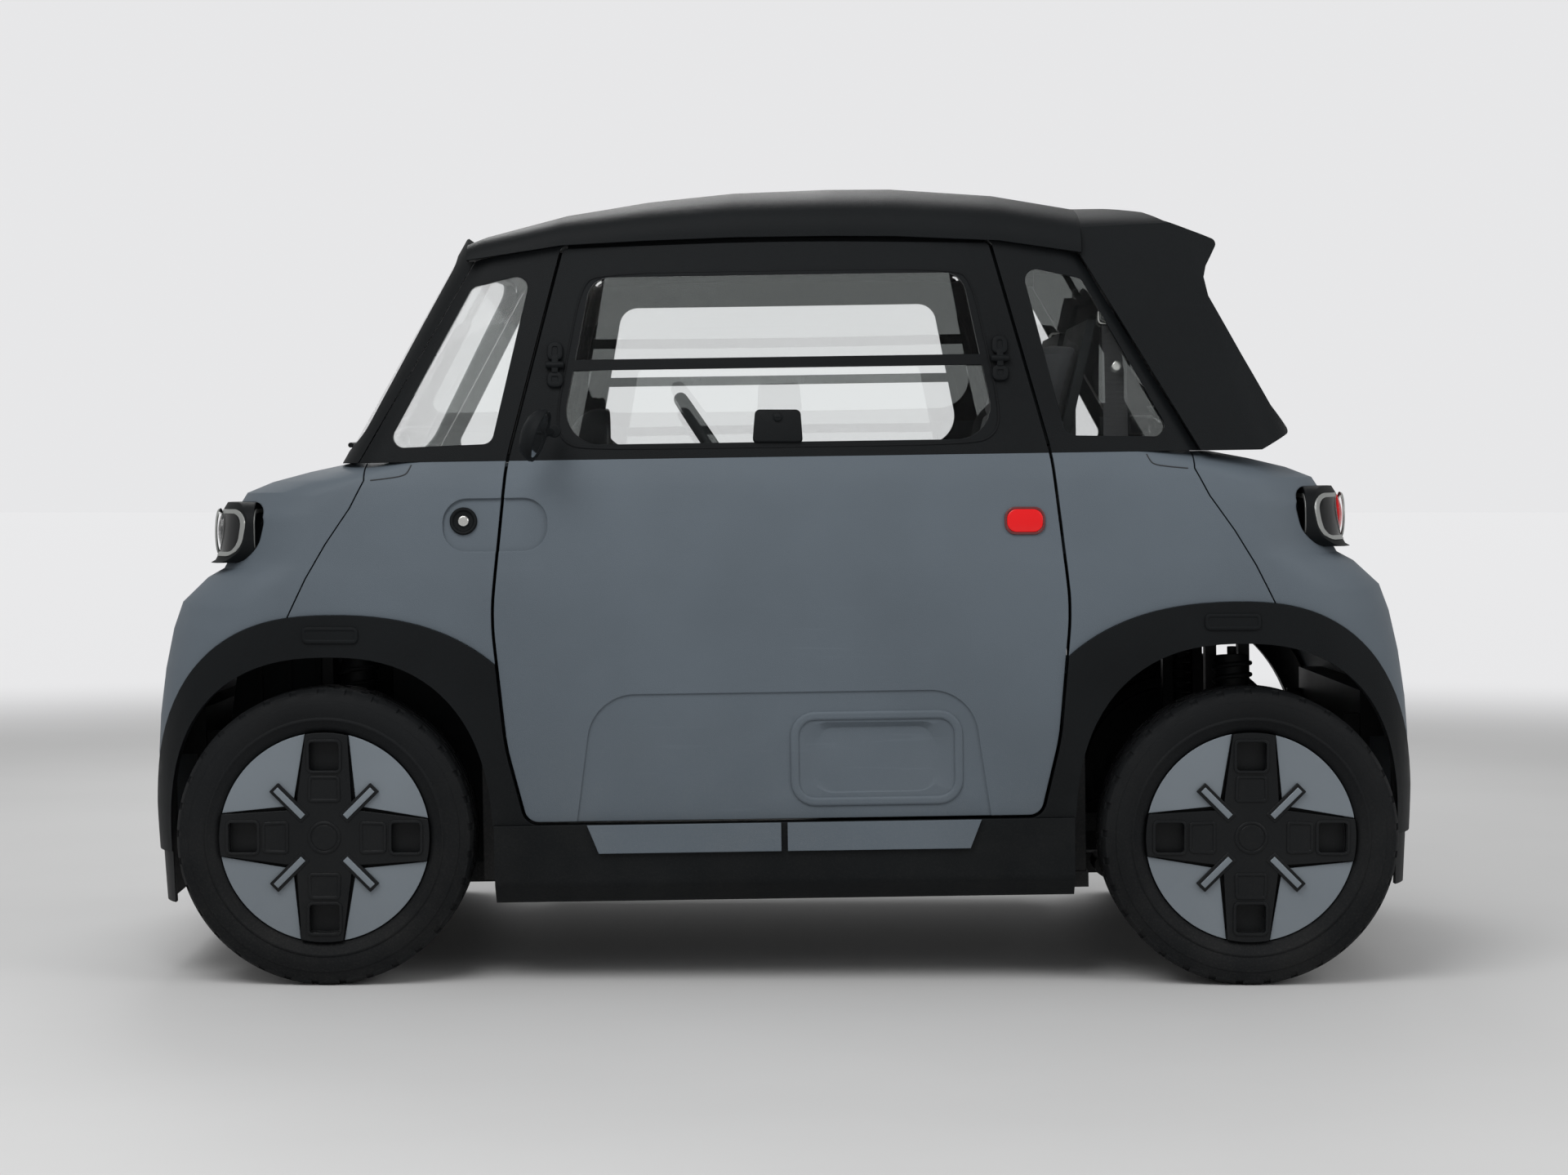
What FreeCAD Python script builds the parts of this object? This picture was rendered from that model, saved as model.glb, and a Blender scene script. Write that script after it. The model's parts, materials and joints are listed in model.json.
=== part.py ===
"""Two-seat electric microcar: moulded body panels on a tube chassis, two doors, four road wheels.

Row frame: +X forward, +Y to the car's left, +Z up, origin on the ground below the middle of the body.
The body is drawn level and is symmetric front to rear; the whole of it is then pitched nose-down
by the body rake. Wheels, knuckles and suspension arms stand square to the ground.
"""
import FreeCAD
import Part
import Sketcher
import math
import os
import re

Vec = FreeCAD.Vector
PARTS_FOLDER = "parts"
SHORTEST_EDGE = 1e-6

# Driving dimensions, in millimetres and degrees
SIZES = {
    "body_length": 2410,
    "body_width": 1390,
    "belt_height": 988,
    "skirt_height": 160,
    "body_rake": 0.86,
    "rake_pivot_height": 350,
    "nose_bow": 16,
    "side_bow": 22,
    "corner_radius": 178,
    "skin_wall": 12,
    "shut_gap": 6,
    "seam_gap": 3,
    "running_gap": 0.3,
    "overrun": 40,
    "axle_overhang": 341,
    "wheelbase_shift": 7,
    "wheel_half_track": 612,
    "tyre_radius": 278.5,
    "tyre_width": 155,
    "tyre_shoulder": 22,
    "bead_radius": 184,
    "rim_width": 127,
    "rim_flange_radius": 196,
    "rim_well_radius": 152,
    "rim_wall": 5,
    "disc_inset": 14,
    "hub_radius": 62,
    "hub_bore_radius": 28,
    "cover_depth": 10,
    "cover_dish": 6,
    "arm_root_lead": 59,
    "arm_root_trail": 55,
    "arm_tip_lead": 34,
    "arm_tip_trail": 43,
    "vent_size": 56,
    "vent_radius": 9,
    "vent_reach": 152,
    "door_margin": 315,
    "door_bottom": 314,
    "door_top": 1394,
    "door_inner_half_width": 645,
    "emboss_margin": 184,
    "emboss_top": 551,
    "emboss_radius": 90,
    "emboss_depth": 3,
    "pocket_place": -172,
    "pocket_height": 423,
    "pocket_length": 310,
    "pocket_width": 158,
    "pocket_radius": 54,
    "pocket_slope": 38,
    "pocket_depth": 14,
    "lock_recess_lead": 91,
    "lock_recess_trail": 104,
    "lock_recess_bottom": 820,
    "lock_recess_top": 919,
    "lock_recess_radius": 45,
    "lock_recess_depth": 5,
    "window_sill": 1016,
    "window_head": 1330,
    "window_margin": 126,
    "window_corner_radius": 42,
    "hinge_bar_height": 1165,
    "hinge_bar_width": 20,
    "frame_wall": 18,
    "pane_wall": 4,
    "pane_inset": 3,
    "glazing_gap": 0.3,
    "belt_half_width": 665,
    "roof_half_width": 585,
    "greenhouse_top": 1418,
    "screen_setback": 367,
    "screen_slope": 240,
    "tail_margin": 22,
    "screen_corner_radius": 95,
    "pillar_lag": 51,
    "pillar_slope": 221,
    "pillar_top_height": 1369,
    "screen_frame_wall": 24,
    "screen_wall": 5,
    "screen_border": 62,
    "roof_front_lag": 15,
    "roof_rear_lag": 24,
    "roof_crown": 1517,
    "roof_edge": 1403,
    "roof_side": 594,
    "roof_wall": 24,
    "lip_overhang": 129,
    "lip_height": 1022,
    "spoiler_overhang": 263,
    "spoiler_height": 1385,
    "rear_window_half_width": 470,
    "arch_half_length": 307,
    "arch_height": 628,
    "arch_axle_height": 278,
    "arch_lead": 13,
    "arch_trim_front": 345,
    "arch_trim_rear": 440,
    "arch_trim_top": 706,
    "arch_trim_proud": 7,
    "arch_trim_wall": 26,
    "arch_inner": 430,
    "nose_lower_edge": 259,
    "sill_overlap": 5,
    "sill_inner": 585,
    "sill_outer": 692,
    "strip_height": 53,
    "strip_margin": 190,
    "strip_centre_gap": 12,
    "strip_proud": 5,
    "lamp_proud": 16,
    "lamp_depth": 220,
    "lamp_inner": 395,
    "lamp_outer": 640,
    "lamp_bottom": 804,
    "lamp_top": 918,
    "lens_radius": 44,
    "lens_half_track": 500,
    "lens_depth": 26,
    "rail_half_track": 355,
    "rail_size": 40,
    "rail_bottom": 165,
    "rail_inset": 75,
    "cross_tube": 30,
    "floor_wall": 10,
    "rear_member_margin": 24,
    "tub_half_width": 583,
    "footwell_margin": 91,
    "footwell_half_width": 385,
    "scuttle_height": 860,
    "shelf_height": 720,
    "shelf_margin": 305,
    "post_half_track": 618,
    "post_size": 30,
    "post_margin": 20,
    "tower_length": 86,
    "tower_depth": 35,
    "tower_height": 640,
    "battery_margin": 25,
    "battery_width": 400,
    "battery_height": 190,
    "motor_length": 220,
    "motor_radius": 95,
    "motor_height": 455,
    "gearbox_length": 100,
    "gearbox_width": 110,
    "shaft_radius": 14,
    "kingpin_half_track": 600,
    "kingpin_radius": 10,
    "kingpin_reach": 118,
    "ball_offset": 100,
    "arm_wall": 16,
    "arm_eye_radius": 24,
    "arm_base_half_length": 95,
    "damper_offset": 30,
    "damper_radius": 20,
    "damper_rod_radius": 9,
    "spring_radius": 32,
    "knuckle_width": 46,
    "knuckle_depth": 36,
    "track_arm_reach": 62,
    "track_arm_height": 45,
    "tie_rod_radius": 8,
    "tie_rod_end": 528,
    "rack_radius": 18,
    "wheel_reach": 230,
    "driver_half_track": 300,
    "wheel_centre_height": 963,
    "column_tilt": 33,
    "steering_radius": 170,
    "steering_grip_radius": 14,
    "column_radius": 20,
    "column_start": 62,
    "seat_width": 450,
    "seat_front": 45,
    "seat_room": 156,
    "cushion_bottom": 490,
    "cushion_top": 590,
    "seat_pan_wall": 18,
    "backrest_height": 1240,
    "backrest_lean": 190,
    "backrest_depth": 90,
    "dash_depth": 405,
    "dash_front_share": 0.305,
    "dash_top": 978,
    "dash_bottom": 880,
    "dash_half_width": 600,
    "pod_radius": 55,
    "pod_depth": 30,
    "mirror_radius": 54,
    "mirror_depth": 60,
    "mirror_setback": 96,
    "mirror_half_track": 765,
    "mirror_height": 1040,
    "mirror_arm_radius": 14,
    "hinge_margin": 4,
    "door_axis_out": 700,
    "hinge_arm_radius": 90,
    "hinge_arm_wall": 8,
    "hinge_arm_width": 34,
    "hinge_low": 590,
    "hinge_high": 815,
    "hinge_arm_start": 42,
    "hinge_arm_sweep": 98,
    "beam_height": 470,
    "beam_width": 90,
    "ring_height": 938,
    "ring_width": 26,
    "ring_wall": 20,
}
# Places that follow from the driving dimensions
PLACES = {
    "axle_half_base": "body_length / 2 - axle_overhang",
    "arch_centre": "axle_half_base - arch_lead",
    "door_half_length": "arch_centre - door_margin",
    "window_half_length": "door_half_length - window_margin",
    "emboss_half_length": "door_half_length - emboss_margin",
    "lock_recess_front": "door_half_length + lock_recess_lead",
    "lock_recess_rear": "door_half_length - lock_recess_trail",
    "door_axis_ahead": "door_half_length + hinge_margin",
    "mirror_ahead": "door_half_length - mirror_setback",
    "sill_half_length": "door_half_length + sill_overlap",
    "strip_half_length": "door_half_length - strip_margin",
    "post_place": "door_half_length + post_margin",
    "tub_front": "door_half_length - shut_gap",
    "tub_rear": "door_half_length + rear_member_margin",
    "footwell_front": "arch_centre - footwell_margin",
    "shelf_reach": "body_length / 2 - shelf_margin",
    "screen_base": "body_length / 2 - screen_setback",
    "screen_top": "screen_base - screen_slope",
    "pillar_base": "screen_base - pillar_lag",
    "pillar_top": "pillar_base - pillar_slope",
    "roof_front": "screen_top - roof_front_lag",
    "roof_rear": "screen_top - roof_rear_lag",
    "spoiler_reach": "roof_rear + spoiler_overhang",
    "lip_reach": "spoiler_reach + lip_overhang",
    "dash_front": "body_length * dash_front_share",
    "dash_rear": "dash_front - dash_depth",
    "wheel_centre_ahead": "dash_rear - wheel_reach",
    "lamp_back": "body_length / 2 - lamp_depth",
    "rail_end": "body_length / 2 - rail_inset",
    "seat_rear": "post_place - seat_room",
    "battery_length": "seat_rear - seat_front - battery_margin",
}
# Level sections of the lower body: height, half length, half width and corner radius shares
LOWER_SECTION_SHARES = (
    (-0.100, 0.991, 0.950, 1.00),
    (0.220, 0.999, 0.985, 1.00),
    (0.345, 0.9985, 0.994, 1.00),
    (0.430, 0.994, 0.999, 1.00),
    (0.535, 0.984, 1.000, 1.00),
    (0.628, 0.970, 1.000, 1.00),
    (0.688, 0.955, 1.000, 1.00),
    (0.743, 0.915, 0.998, 1.00),
    (0.764, 0.889, 0.996, 1.00),
    (0.785, 0.881, 0.994, 1.00),
    (0.882, 0.875, 0.984, 1.02),
    (0.936, 0.853, 0.976, 1.08),
    (0.960, 0.812, 0.970, 1.08),
    (0.982, 0.752, 0.963, 1.05),
    (1.000, 0.690, 0.957, 1.00),
    (1.040, 0.600, 0.944, 1.00),
)
LAMP_FACE_SHARE = 0.881
# Level sections of the greenhouse: height share, and how far the half width has come in by then
GREENHOUSE_SHARES = (
    (-0.12, -0.11),
    (0.60, 0.585),
    (1.30, 1.33),
)
# Half the door outline from the sill to the roof: half length, height and corner radius shares
DOOR_SHARES = (
    (0.892, 0.000, 0.05),
    (0.957, 0.132, 0.70),
    (1.000, 0.356, 0.90),
    (0.942, 0.621, 0.75),
    (0.746, 0.992, 0.02),
)
DOOR_CROWN_SHARE = 15
DOOR_WINDOW_TOP_SHARE = 0.85
# Front edge of the front quarter panel, from the belt down: shares of the body half length and belt
FASCIA_SEAM_SHARES = (
    (0.644, 1.002),
    (0.644, 0.967),
    (0.666, 0.915),
    (0.704, 0.848),
    (0.735, 0.784),
    (0.764, 0.712),
)
# Quarter window corners: shares of the way from door to pillar line and of the window height
QUARTER_WINDOW_SHARES = (
    (0.13, 0.085),
    (0.87, 0.070),
    (0.86, 0.860),
    (0.26, 0.925),
)
ARCH_EXPONENT = 2.4
ROOF_EXPONENT = 3
# Roof stations: reach share, edge drop and crown drop as shares of the roof's height
ROOF_STATION_SHARES = (
    (1.00, 0.325, 0.895),
    (0.95, 0.290, 0.763),
    (0.69, 0.100, 0.410),
    (0.42, 0.045, 0.184),
    (0.14, 0.010, 0.044),
    (-0.17, 0.010, 0.000),
    (-0.39, 0.030, 0.010),
    (-0.73, 0.125, 0.150),
    (-1.00, 0.340, 0.400),
)
# Stations past both ends of the roof, for its inner surface
ROOF_OVERRUN_SHARES = (
    (1.05, 0.36, 0.99),
    (-1.05, 0.36, 0.44),
)
# Rear screen surround in side view below the roof: reach and height shares
REAR_OUTLINE_SHARES = (
    (1.000, 0.921),
    (1.217, 0.864),
    (1.274, 0.824),
    (1.360, 0.788),
)
REAR_RECESS_SHARES = (
    (0.967, 0.658),
    (0.961, 0.618),
    (0.970, 0.550),
    (1.042, 0.338),
    (1.106, 0.159),
)


AXLE_AHEAD = "axle_half_base - wheelbase_shift"
AXLE_BEHIND = "-(axle_half_base + wheelbase_shift)"


class Dims:
    """The sheet's values by name."""

    def __init__(self, sheet):
        self._sheet = sheet

    def __getattr__(self, name):
        return float(self._sheet.get(name))


def filled_sheet(document):
    """The sheet of driving dimensions, followed by the places worked out from them."""
    sheet = document.addObject("Spreadsheet::Sheet", "dims")
    cells = [(alias, str(number)) for alias, number in SIZES.items()]
    cells += [(alias, f"={text}") for alias, text in PLACES.items()]
    for row, (alias, content) in enumerate(cells, start=1):
        sheet.set(f"A{row}", alias)
        sheet.set(f"B{row}", content)
        sheet.setAlias(f"B{row}", alias)
    document.recompute()
    return sheet


doc = FreeCAD.newDocument("microcar")
sheet = filled_sheet(doc)
d = Dims(sheet)
sub_parts = []


# Formulas, primitives and booleans

def formula(text):
    """The text with every sheet alias written as the sheet's property."""
    def in_sheet(match):
        word = match.group()
        return "dims." + word if word in SIZES or word in PLACES else word
    return re.sub(r"[a-z]\w*", in_sheet, text)


def value(text):
    return float(sheet.evalExpression(formula(text)))


def bound(kind, name, **formulas):
    """A new object whose properties follow the sheet."""
    item = doc.addObject(kind, name)
    for prop, text in formulas.items():
        item.setExpression(prop.replace("__", "."), formula(text))
    return item


def box(name, x, y, z):
    """A block between low and high formulas on each axis."""
    return bound("Part::Box", name, Length=f"({x[1]}) - ({x[0]})", Width=f"({y[1]}) - ({y[0]})",
                 Height=f"({z[1]}) - ({z[0]})", Placement__Base__x=x[0], Placement__Base__y=y[0],
                 Placement__Base__z=z[0])


def rod(name, axis, at, radius, length):
    """A cylinder along an axis from the point given by formulas."""
    turn = {"x": FreeCAD.Rotation(Vec(0, 1, 0), 90), "y": FreeCAD.Rotation(Vec(1, 0, 0), -90),
            "z": FreeCAD.Rotation()}[axis]
    item = bound("Part::Cylinder", name, Radius=radius, Height=length, Placement__Base__x=at[0],
                 Placement__Base__y=at[1], Placement__Base__z=at[2])
    item.Placement.Rotation = turn
    return item


def mirrored(item, name):
    """The item on the car's other side."""
    other = doc.addObject("Part::Mirroring", name)
    other.Source = item
    other.Normal = Vec(0, 1, 0)
    return other


def fused(name, items):
    whole = doc.addObject("Part::MultiFuse", name)
    whole.Shapes = items
    return whole


def cut(name, base, tool):
    rest = doc.addObject("Part::Cut", name)
    rest.Base = base
    rest.Tool = tool
    return rest


def grouped(name, items):
    """Separate solids of one sub-part."""
    group = doc.addObject("Part::Compound", name)
    group.Links = items
    return group


def rake():
    """The pitch of the body on its wheels."""
    pivot = Vec(0, 0, d.rake_pivot_height)
    return FreeCAD.Placement(Vec(0, 0, 0), FreeCAD.Rotation(Vec(0, 1, 0), d.body_rake), pivot)


def raked(point):
    return rake().multVec(point)


def sub_part(item, label, on_body=True):
    """Names the item as a sub-part and, for a body piece, pitches it with the body."""
    item.Label = label
    if on_body:
        item.Placement = rake().multiply(item.Placement)
    sub_parts.append(item)
    return item


def shaped(label, shapes, on_body=True):
    """A sub-part from shapes made with the kernel's own functions."""
    item = doc.addObject("Part::Feature", label)
    solids = [solid for shape in shapes for solid in shape.Solids]
    item.Shape = solids[0] if len(solids) == 1 else Part.makeCompound(solids)
    return sub_part(item, label, on_body)


# Sketched bodies

def sketch_on(body, name, plane, vertices):
    """A closed sketch of straight lines through vertices given as formula pairs."""
    sketch = body.newObject("Sketcher::SketchObject", name)
    sketch.AttachmentSupport = (origin_plane(body, plane), "")
    sketch.MapMode = "FlatFace"
    spots = [Vec(value(a), value(b), 0) for a, b in vertices]
    count = len(spots)
    for i, spot in enumerate(spots):
        sketch.addGeometry(Part.LineSegment(spot, spots[(i + 1) % count]))
    for i, (across, up) in enumerate(vertices):
        sketch.addConstraint(Sketcher.Constraint("Coincident", i, 2, (i + 1) % count, 1))
        for kind, spot, text in (("DistanceX", spots[i].x, across), ("DistanceY", spots[i].y, up)):
            index = sketch.addConstraint(Sketcher.Constraint(kind, -1, 1, i, 1, spot))
            sketch.setExpression(f"Constraints[{index}]", formula(text))
    return sketch


def origin_plane(body, role):
    return next(item for item in body.Origin.OriginFeatures if item.Role == role)


def pad(body, name, sketch, length, both_ways=True):
    feature = body.newObject("PartDesign::Pad", name)
    feature.Profile = sketch
    feature.setExpression("Length", formula(length))
    feature.Midplane = both_ways
    return feature


def revolve(body, name, sketch, axis="H_Axis"):
    feature = body.newObject("PartDesign::Revolution", name)
    feature.Profile = sketch
    feature.ReferenceAxis = (sketch, [axis])
    feature.Angle = 360
    return feature


# Outlines, envelopes and layers of the body skin

def rounded_wire(points, place):
    """A closed wire through (a, b, radius) points, with each corner rounded; place lifts it to 3-D."""
    count = len(points)
    corners = []
    for i, (a, b, radius) in enumerate(points):
        here = Vec(a, b, 0)
        before = (Vec(*points[i - 1][:2], 0) - here).normalize()
        after = (Vec(*points[(i + 1) % count][:2], 0) - here).normalize()
        if radius <= 0:
            corners.append((here,))
            continue
        half = before.getAngle(after) / 2
        reach = radius / math.tan(half)
        centre = here + (before + after).normalize() * (radius / math.sin(half))
        middle = centre + (here - centre).normalize() * radius
        corners.append((here + before * reach, middle, here + after * reach))
    edges = []
    for i, corner in enumerate(corners):
        after = corners[(i + 1) % count][0]
        if len(corner) == 3:
            edges.append(Part.Arc(*(place(p) for p in corner)).toShape())
        if corner[-1].distanceToPoint(after) > SHORTEST_EDGE:
            edges.append(Part.makeLine(place(corner[-1]), place(after)))
    return Part.Wire(edges)


def side_wire(points):
    """A wire in side view: points are (ahead, height, radius)."""
    return rounded_wire([(p + (0,))[:3] for p in points], lambda p: Vec(p.x, 0, p.y))


def front_wire(points):
    """A wire in front view: points are (to the left, height, radius)."""
    return rounded_wire([(p + (0,))[:3] for p in points], lambda p: Vec(0, p.x, p.y))


def side_prism(wire, inner, outer):
    """The wire's area from the inner to the outer distance off the centre plane, to the left."""
    face = Part.Face(wire)
    face.translate(Vec(0, inner, 0))
    return face.extrude(Vec(0, outer - inner, 0))


def front_prism(wire, back, front):
    face = Part.Face(wire)
    face.translate(Vec(back, 0, 0))
    return face.extrude(Vec(front - back, 0, 0))


def grown(wire, amount):
    return wire.makeOffset2D(amount)


def reflected(shape):
    return shape.mirror(Vec(0, 0, 0), Vec(0, 1, 0))


def turned(shape):
    """The shape at the other end of the car."""
    other = shape.copy()
    other.rotate(Vec(0, 0, 0), Vec(0, 0, 1), 180)
    return other


def plan_section(front, rear, half_width, corner, height):
    """A level rounded rectangle with a bowed nose, tail and sides."""
    half_length = (front - rear) / 2
    centre = front - half_length
    nose_radius = (half_width**2 + d.nose_bow**2) / (2 * d.nose_bow)
    side_radius = (half_length**2 + d.side_bow**2) / (2 * d.side_bow)
    nose_centre = Vec(half_length - nose_radius, 0, 0)
    side_centre = Vec(0, half_width - side_radius, 0)
    nose_reach = nose_radius - corner
    side_reach = side_radius - corner
    span = side_centre - nose_centre
    along = (nose_reach**2 - side_reach**2 + span.Length**2) / (2 * span.Length)
    across = math.sqrt(nose_reach**2 - along**2)
    unit = span.normalize()
    corner_centre = nose_centre + unit * along + Vec(-unit.y, unit.x, 0) * across
    nose_end = nose_centre + (corner_centre - nose_centre) * (nose_radius / nose_reach)
    side_end = side_centre + (corner_centre - side_centre) * (side_radius / side_reach)
    corner_middle = corner_centre + ((nose_end + side_end) / 2 - corner_centre).normalize() * corner
    nose_middle = Vec(half_length, 0, 0)
    side_middle = Vec(0, half_width, 0)

    def run(forward, left, *points):
        spots = [Vec(centre + f * p.x, l * p.y, height) for p, f, l in zip(points, forward, left)]
        return Part.Arc(*spots).toShape()

    both = (1, -1)
    edges = []
    for way in both:
        edges.append(run((way,) * 3, (-way, way, way), nose_end, nose_middle, nose_end))
        edges.append(run((way,) * 3, (way,) * 3, nose_end, corner_middle, side_end))
        edges.append(run((way, way, -way), (way,) * 3, side_end, side_middle, side_end))
        edges.append(run((-way,) * 3, (way,) * 3, side_end, corner_middle, nose_end))
    return Part.Wire(edges)


def lower_envelope(inset):
    """The body below the belt, in from its surface by the inset."""
    half_length = d.body_length / 2
    half_width = d.body_width / 2
    rise = d.belt_height - d.skirt_height
    wires = []
    for height, length, width, corner in LOWER_SECTION_SHARES:
        front = half_length * length - inset
        level = d.skirt_height + rise * height - inset
        wires.append(plan_section(front, -front, half_width * width - inset,
                                  d.corner_radius * corner - inset, level))
    return Part.makeLoft(wires, True, True)


def greenhouse_envelope(inset):
    """The glass house above the belt, in from its surface by the inset; both ends slope alike."""
    wires = []
    for height, come_in in GREENHOUSE_SHARES:
        level = d.belt_height + (d.greenhouse_top - d.belt_height) * height
        front = d.screen_base + (d.screen_top - d.screen_base) * height - inset
        wide = d.belt_half_width + (d.roof_half_width - d.belt_half_width) * come_in - inset
        wires.append(plan_section(front, -front, wide, d.screen_corner_radius - inset, level))
    return Part.makeLoft(wires, True, True)


def door_wire():
    rise = d.door_top - d.door_bottom
    half = []
    for length, height, corner in DOOR_SHARES:
        level = d.door_bottom + rise * height
        half.append((d.door_half_length * length, level, d.door_half_length * corner))
    crown = [(0, d.door_top, d.door_half_length * DOOR_CROWN_SHARE)]
    return side_wire(half + crown + [(-x, z, r) for x, z, r in reversed(half)])


def arch_wire(front, rear, top, foot):
    """A wheel arch in side view: a rounded superellipse over the axle with upright legs."""
    centre = d.arch_centre
    axle = d.arch_axle_height
    steps = 12
    points = []
    for i in range(steps + 1):
        angle = math.pi * (steps - i) / steps
        reach = front if i > steps / 2 else rear
        share = abs(math.cos(angle))**(2 / ARCH_EXPONENT)
        across = centre + math.copysign(share, math.cos(angle)) * reach
        if i * 2 == steps:
            across = centre
        points.append(Vec(across, 0, axle + (top - axle) * math.sin(angle)**(2 / ARCH_EXPONENT)))
    points[0] = Vec(centre - rear, 0, axle)
    points[-1] = Vec(centre + front, 0, axle)
    curve = Part.BSplineCurve()
    curve.interpolate(points)
    left = Vec(centre - rear, 0, foot)
    right = Vec(centre + front, 0, foot)
    return Part.Wire([curve.toShape(), Part.makeLine(points[-1], right), Part.makeLine(right, left),
                      Part.makeLine(left, points[0])])


outside = d.body_width
door_outline = door_wire()
door_block = side_prism(door_outline, 0, outside)
below_belt = Part.makeBox(4 * outside, 4 * outside, d.belt_height, Vec(-2 * outside, -2 * outside, 0))
door_clearance = side_prism(grown(door_outline, d.shut_gap), 0, outside)
low = d.skirt_height - d.overrun
arch_opening = arch_wire(d.arch_half_length, d.arch_half_length, d.arch_height, low)
arch_opening_block = side_prism(arch_opening, d.arch_inner, outside)
sill_top = d.door_bottom - d.shut_gap
trim_foot = sill_top + d.running_gap
nose_foot = d.nose_lower_edge - d.running_gap
arch_trim_outline = arch_wire(d.arch_trim_front, d.arch_trim_rear, d.arch_trim_top, d.nose_lower_edge)
arch_trim_block = side_prism(arch_trim_outline, d.arch_inner, outside)
arch_seam = arch_wire(d.arch_trim_front + d.running_gap, d.arch_trim_rear + d.running_gap,
                      d.arch_trim_top + d.running_gap, low)
arch_seam_block = side_prism(arch_seam, d.arch_inner - d.running_gap, outside)


def seam_points():
    half = d.body_length / 2
    return [(half * x, d.belt_height * z) for x, z in FASCIA_SEAM_SHARES]


def make_skins():
    """Nose, tail and quarter panels, with the band between the lamps and the valances."""
    half = d.body_length / 2
    shell = lower_envelope(0).cut(lower_envelope(d.skin_wall))
    seam = seam_points()
    ahead = half + d.overrun
    quarter = side_wire([(x - d.seam_gap, z) for x, z in seam]
                        + [(seam[-1][0], trim_foot), (0, trim_foot), (0, seam[0][1])])
    panel = shell.common(side_prism(quarter, d.body_width / 4, outside).common(below_belt))
    panel = panel.cut(Part.makeCompound([door_clearance, arch_seam_block]))
    panel = max(panel.Solids, key=lambda solid: solid.Volume)
    lock_panel = panel.cut(lock_recess())
    nose = side_wire(seam + [(seam[-1][0], d.nose_lower_edge), (ahead, d.nose_lower_edge),
                             (ahead, seam[0][1])])
    fascia = shell.common(side_prism(nose, -outside, outside).common(below_belt))
    lamp = front_prism(grown(lamp_wire(), d.running_gap), 0, ahead)
    band_wire = nose_band_wire()
    band_hole = front_prism(grown(band_wire, d.running_gap), half / 2, ahead)
    holes = [arch_seam_block, reflected(arch_seam_block), lamp, reflected(lamp), band_hole]
    fascia = fascia.cut(holes)
    fascia = max(fascia.Solids, key=lambda solid: solid.Volume)
    band = shell.common(front_prism(band_wire, d.lamp_back, ahead))
    skirt = side_wire([(d.arch_centre, d.skirt_height), (ahead, d.skirt_height), (ahead, nose_foot),
                       (d.arch_centre, nose_foot)])
    valance = shell.common(side_prism(skirt, -outside, outside))
    valance = valance.cut([arch_opening_block, reflected(arch_opening_block)])
    valance = max(valance.Solids, key=lambda solid: solid.Volume)
    shaped("front_fascia", [fascia])
    shaped("rear_fascia", [turned(fascia)])
    shaped("front_quarter_panels", [lock_panel, reflected(panel)])
    shaped("rear_quarter_panels", [turned(lock_panel), turned(reflected(panel))])
    shaped("lamp_bands", [band, turned(band)])
    shaped("valances", [valance, turned(valance)])


def lock_recess():
    """What is taken off the left side round the lock, across the shut line."""
    radius = d.lock_recess_radius
    wire = side_wire([(d.lock_recess_front, d.lock_recess_bottom, radius),
                      (d.lock_recess_front, d.lock_recess_top, radius),
                      (d.lock_recess_rear, d.lock_recess_top, radius),
                      (d.lock_recess_rear, d.lock_recess_bottom, radius)])
    return side_prism(wire, d.body_width / 4, outside).cut(lower_envelope(d.lock_recess_depth))


def lamp_wire():
    radius = (d.lamp_top - d.lamp_bottom) * 2 / 5
    return front_wire([(d.lamp_inner, d.lamp_bottom, radius), (d.lamp_outer, d.lamp_bottom, radius),
                       (d.lamp_outer, d.lamp_top, radius), (d.lamp_inner, d.lamp_top, radius)])


def nose_band_wire():
    edge = d.lamp_inner - 2 * d.seam_gap
    drop = (d.lamp_top - d.lamp_bottom) / 9
    return front_wire([(-edge, d.lamp_bottom + drop), (edge, d.lamp_bottom + drop),
                       (edge, d.lamp_top - drop), (-edge, d.lamp_top - drop)])


def make_lamps():
    """Corner housings proud of the skin, each with a round lens."""
    proud = lower_envelope(-d.lamp_proud)
    ahead = d.body_length / 2 + d.overrun
    housing = proud.common(front_prism(lamp_wire(), d.lamp_back, ahead))
    height = (d.lamp_top + d.lamp_bottom) / 2
    face = d.body_length / 2 * LAMP_FACE_SHARE + d.lamp_proud
    middle = Vec(face - d.lens_depth, d.lens_half_track, height)
    seat = Part.makeCylinder(d.lens_radius, 2 * d.lens_depth, middle, Vec(1, 0, 0))
    housing = housing.cut(seat)
    ball = d.lens_radius * 2
    lens = Part.makeCylinder(d.lens_radius - d.glazing_gap, d.lens_depth, middle, Vec(1, 0, 0))
    dome = Part.makeSphere(ball, Vec(face - ball - d.seam_gap, d.lens_half_track, height))
    lens = lens.common(dome)
    pair = [housing, reflected(housing)]
    lenses = [lens, reflected(lens)]
    shaped("lamp_housings", pair + [turned(item) for item in pair])
    shaped("headlamp_lenses", lenses)
    shaped("tail_lamp_lenses", [turned(item) for item in lenses])


def make_arch_trims():
    """Black mouldings round the wheel openings, from the door gap to the nose."""
    trim = lower_envelope(-d.arch_trim_proud).common(arch_trim_block)
    trim = trim.cut(lower_envelope(d.arch_trim_wall - d.arch_trim_proud))
    foot_wire = side_wire([(0, low), (d.arch_centre, low), (d.arch_centre, trim_foot), (0, trim_foot)])
    foot = side_prism(foot_wire, 0, outside)
    trim = trim.cut([arch_opening_block, door_clearance, foot])
    trim = max(trim.Solids, key=lambda solid: solid.Volume)
    pair = [trim, reflected(trim)]
    shaped("arch_trims", pair + [turned(item) for item in pair])


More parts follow.
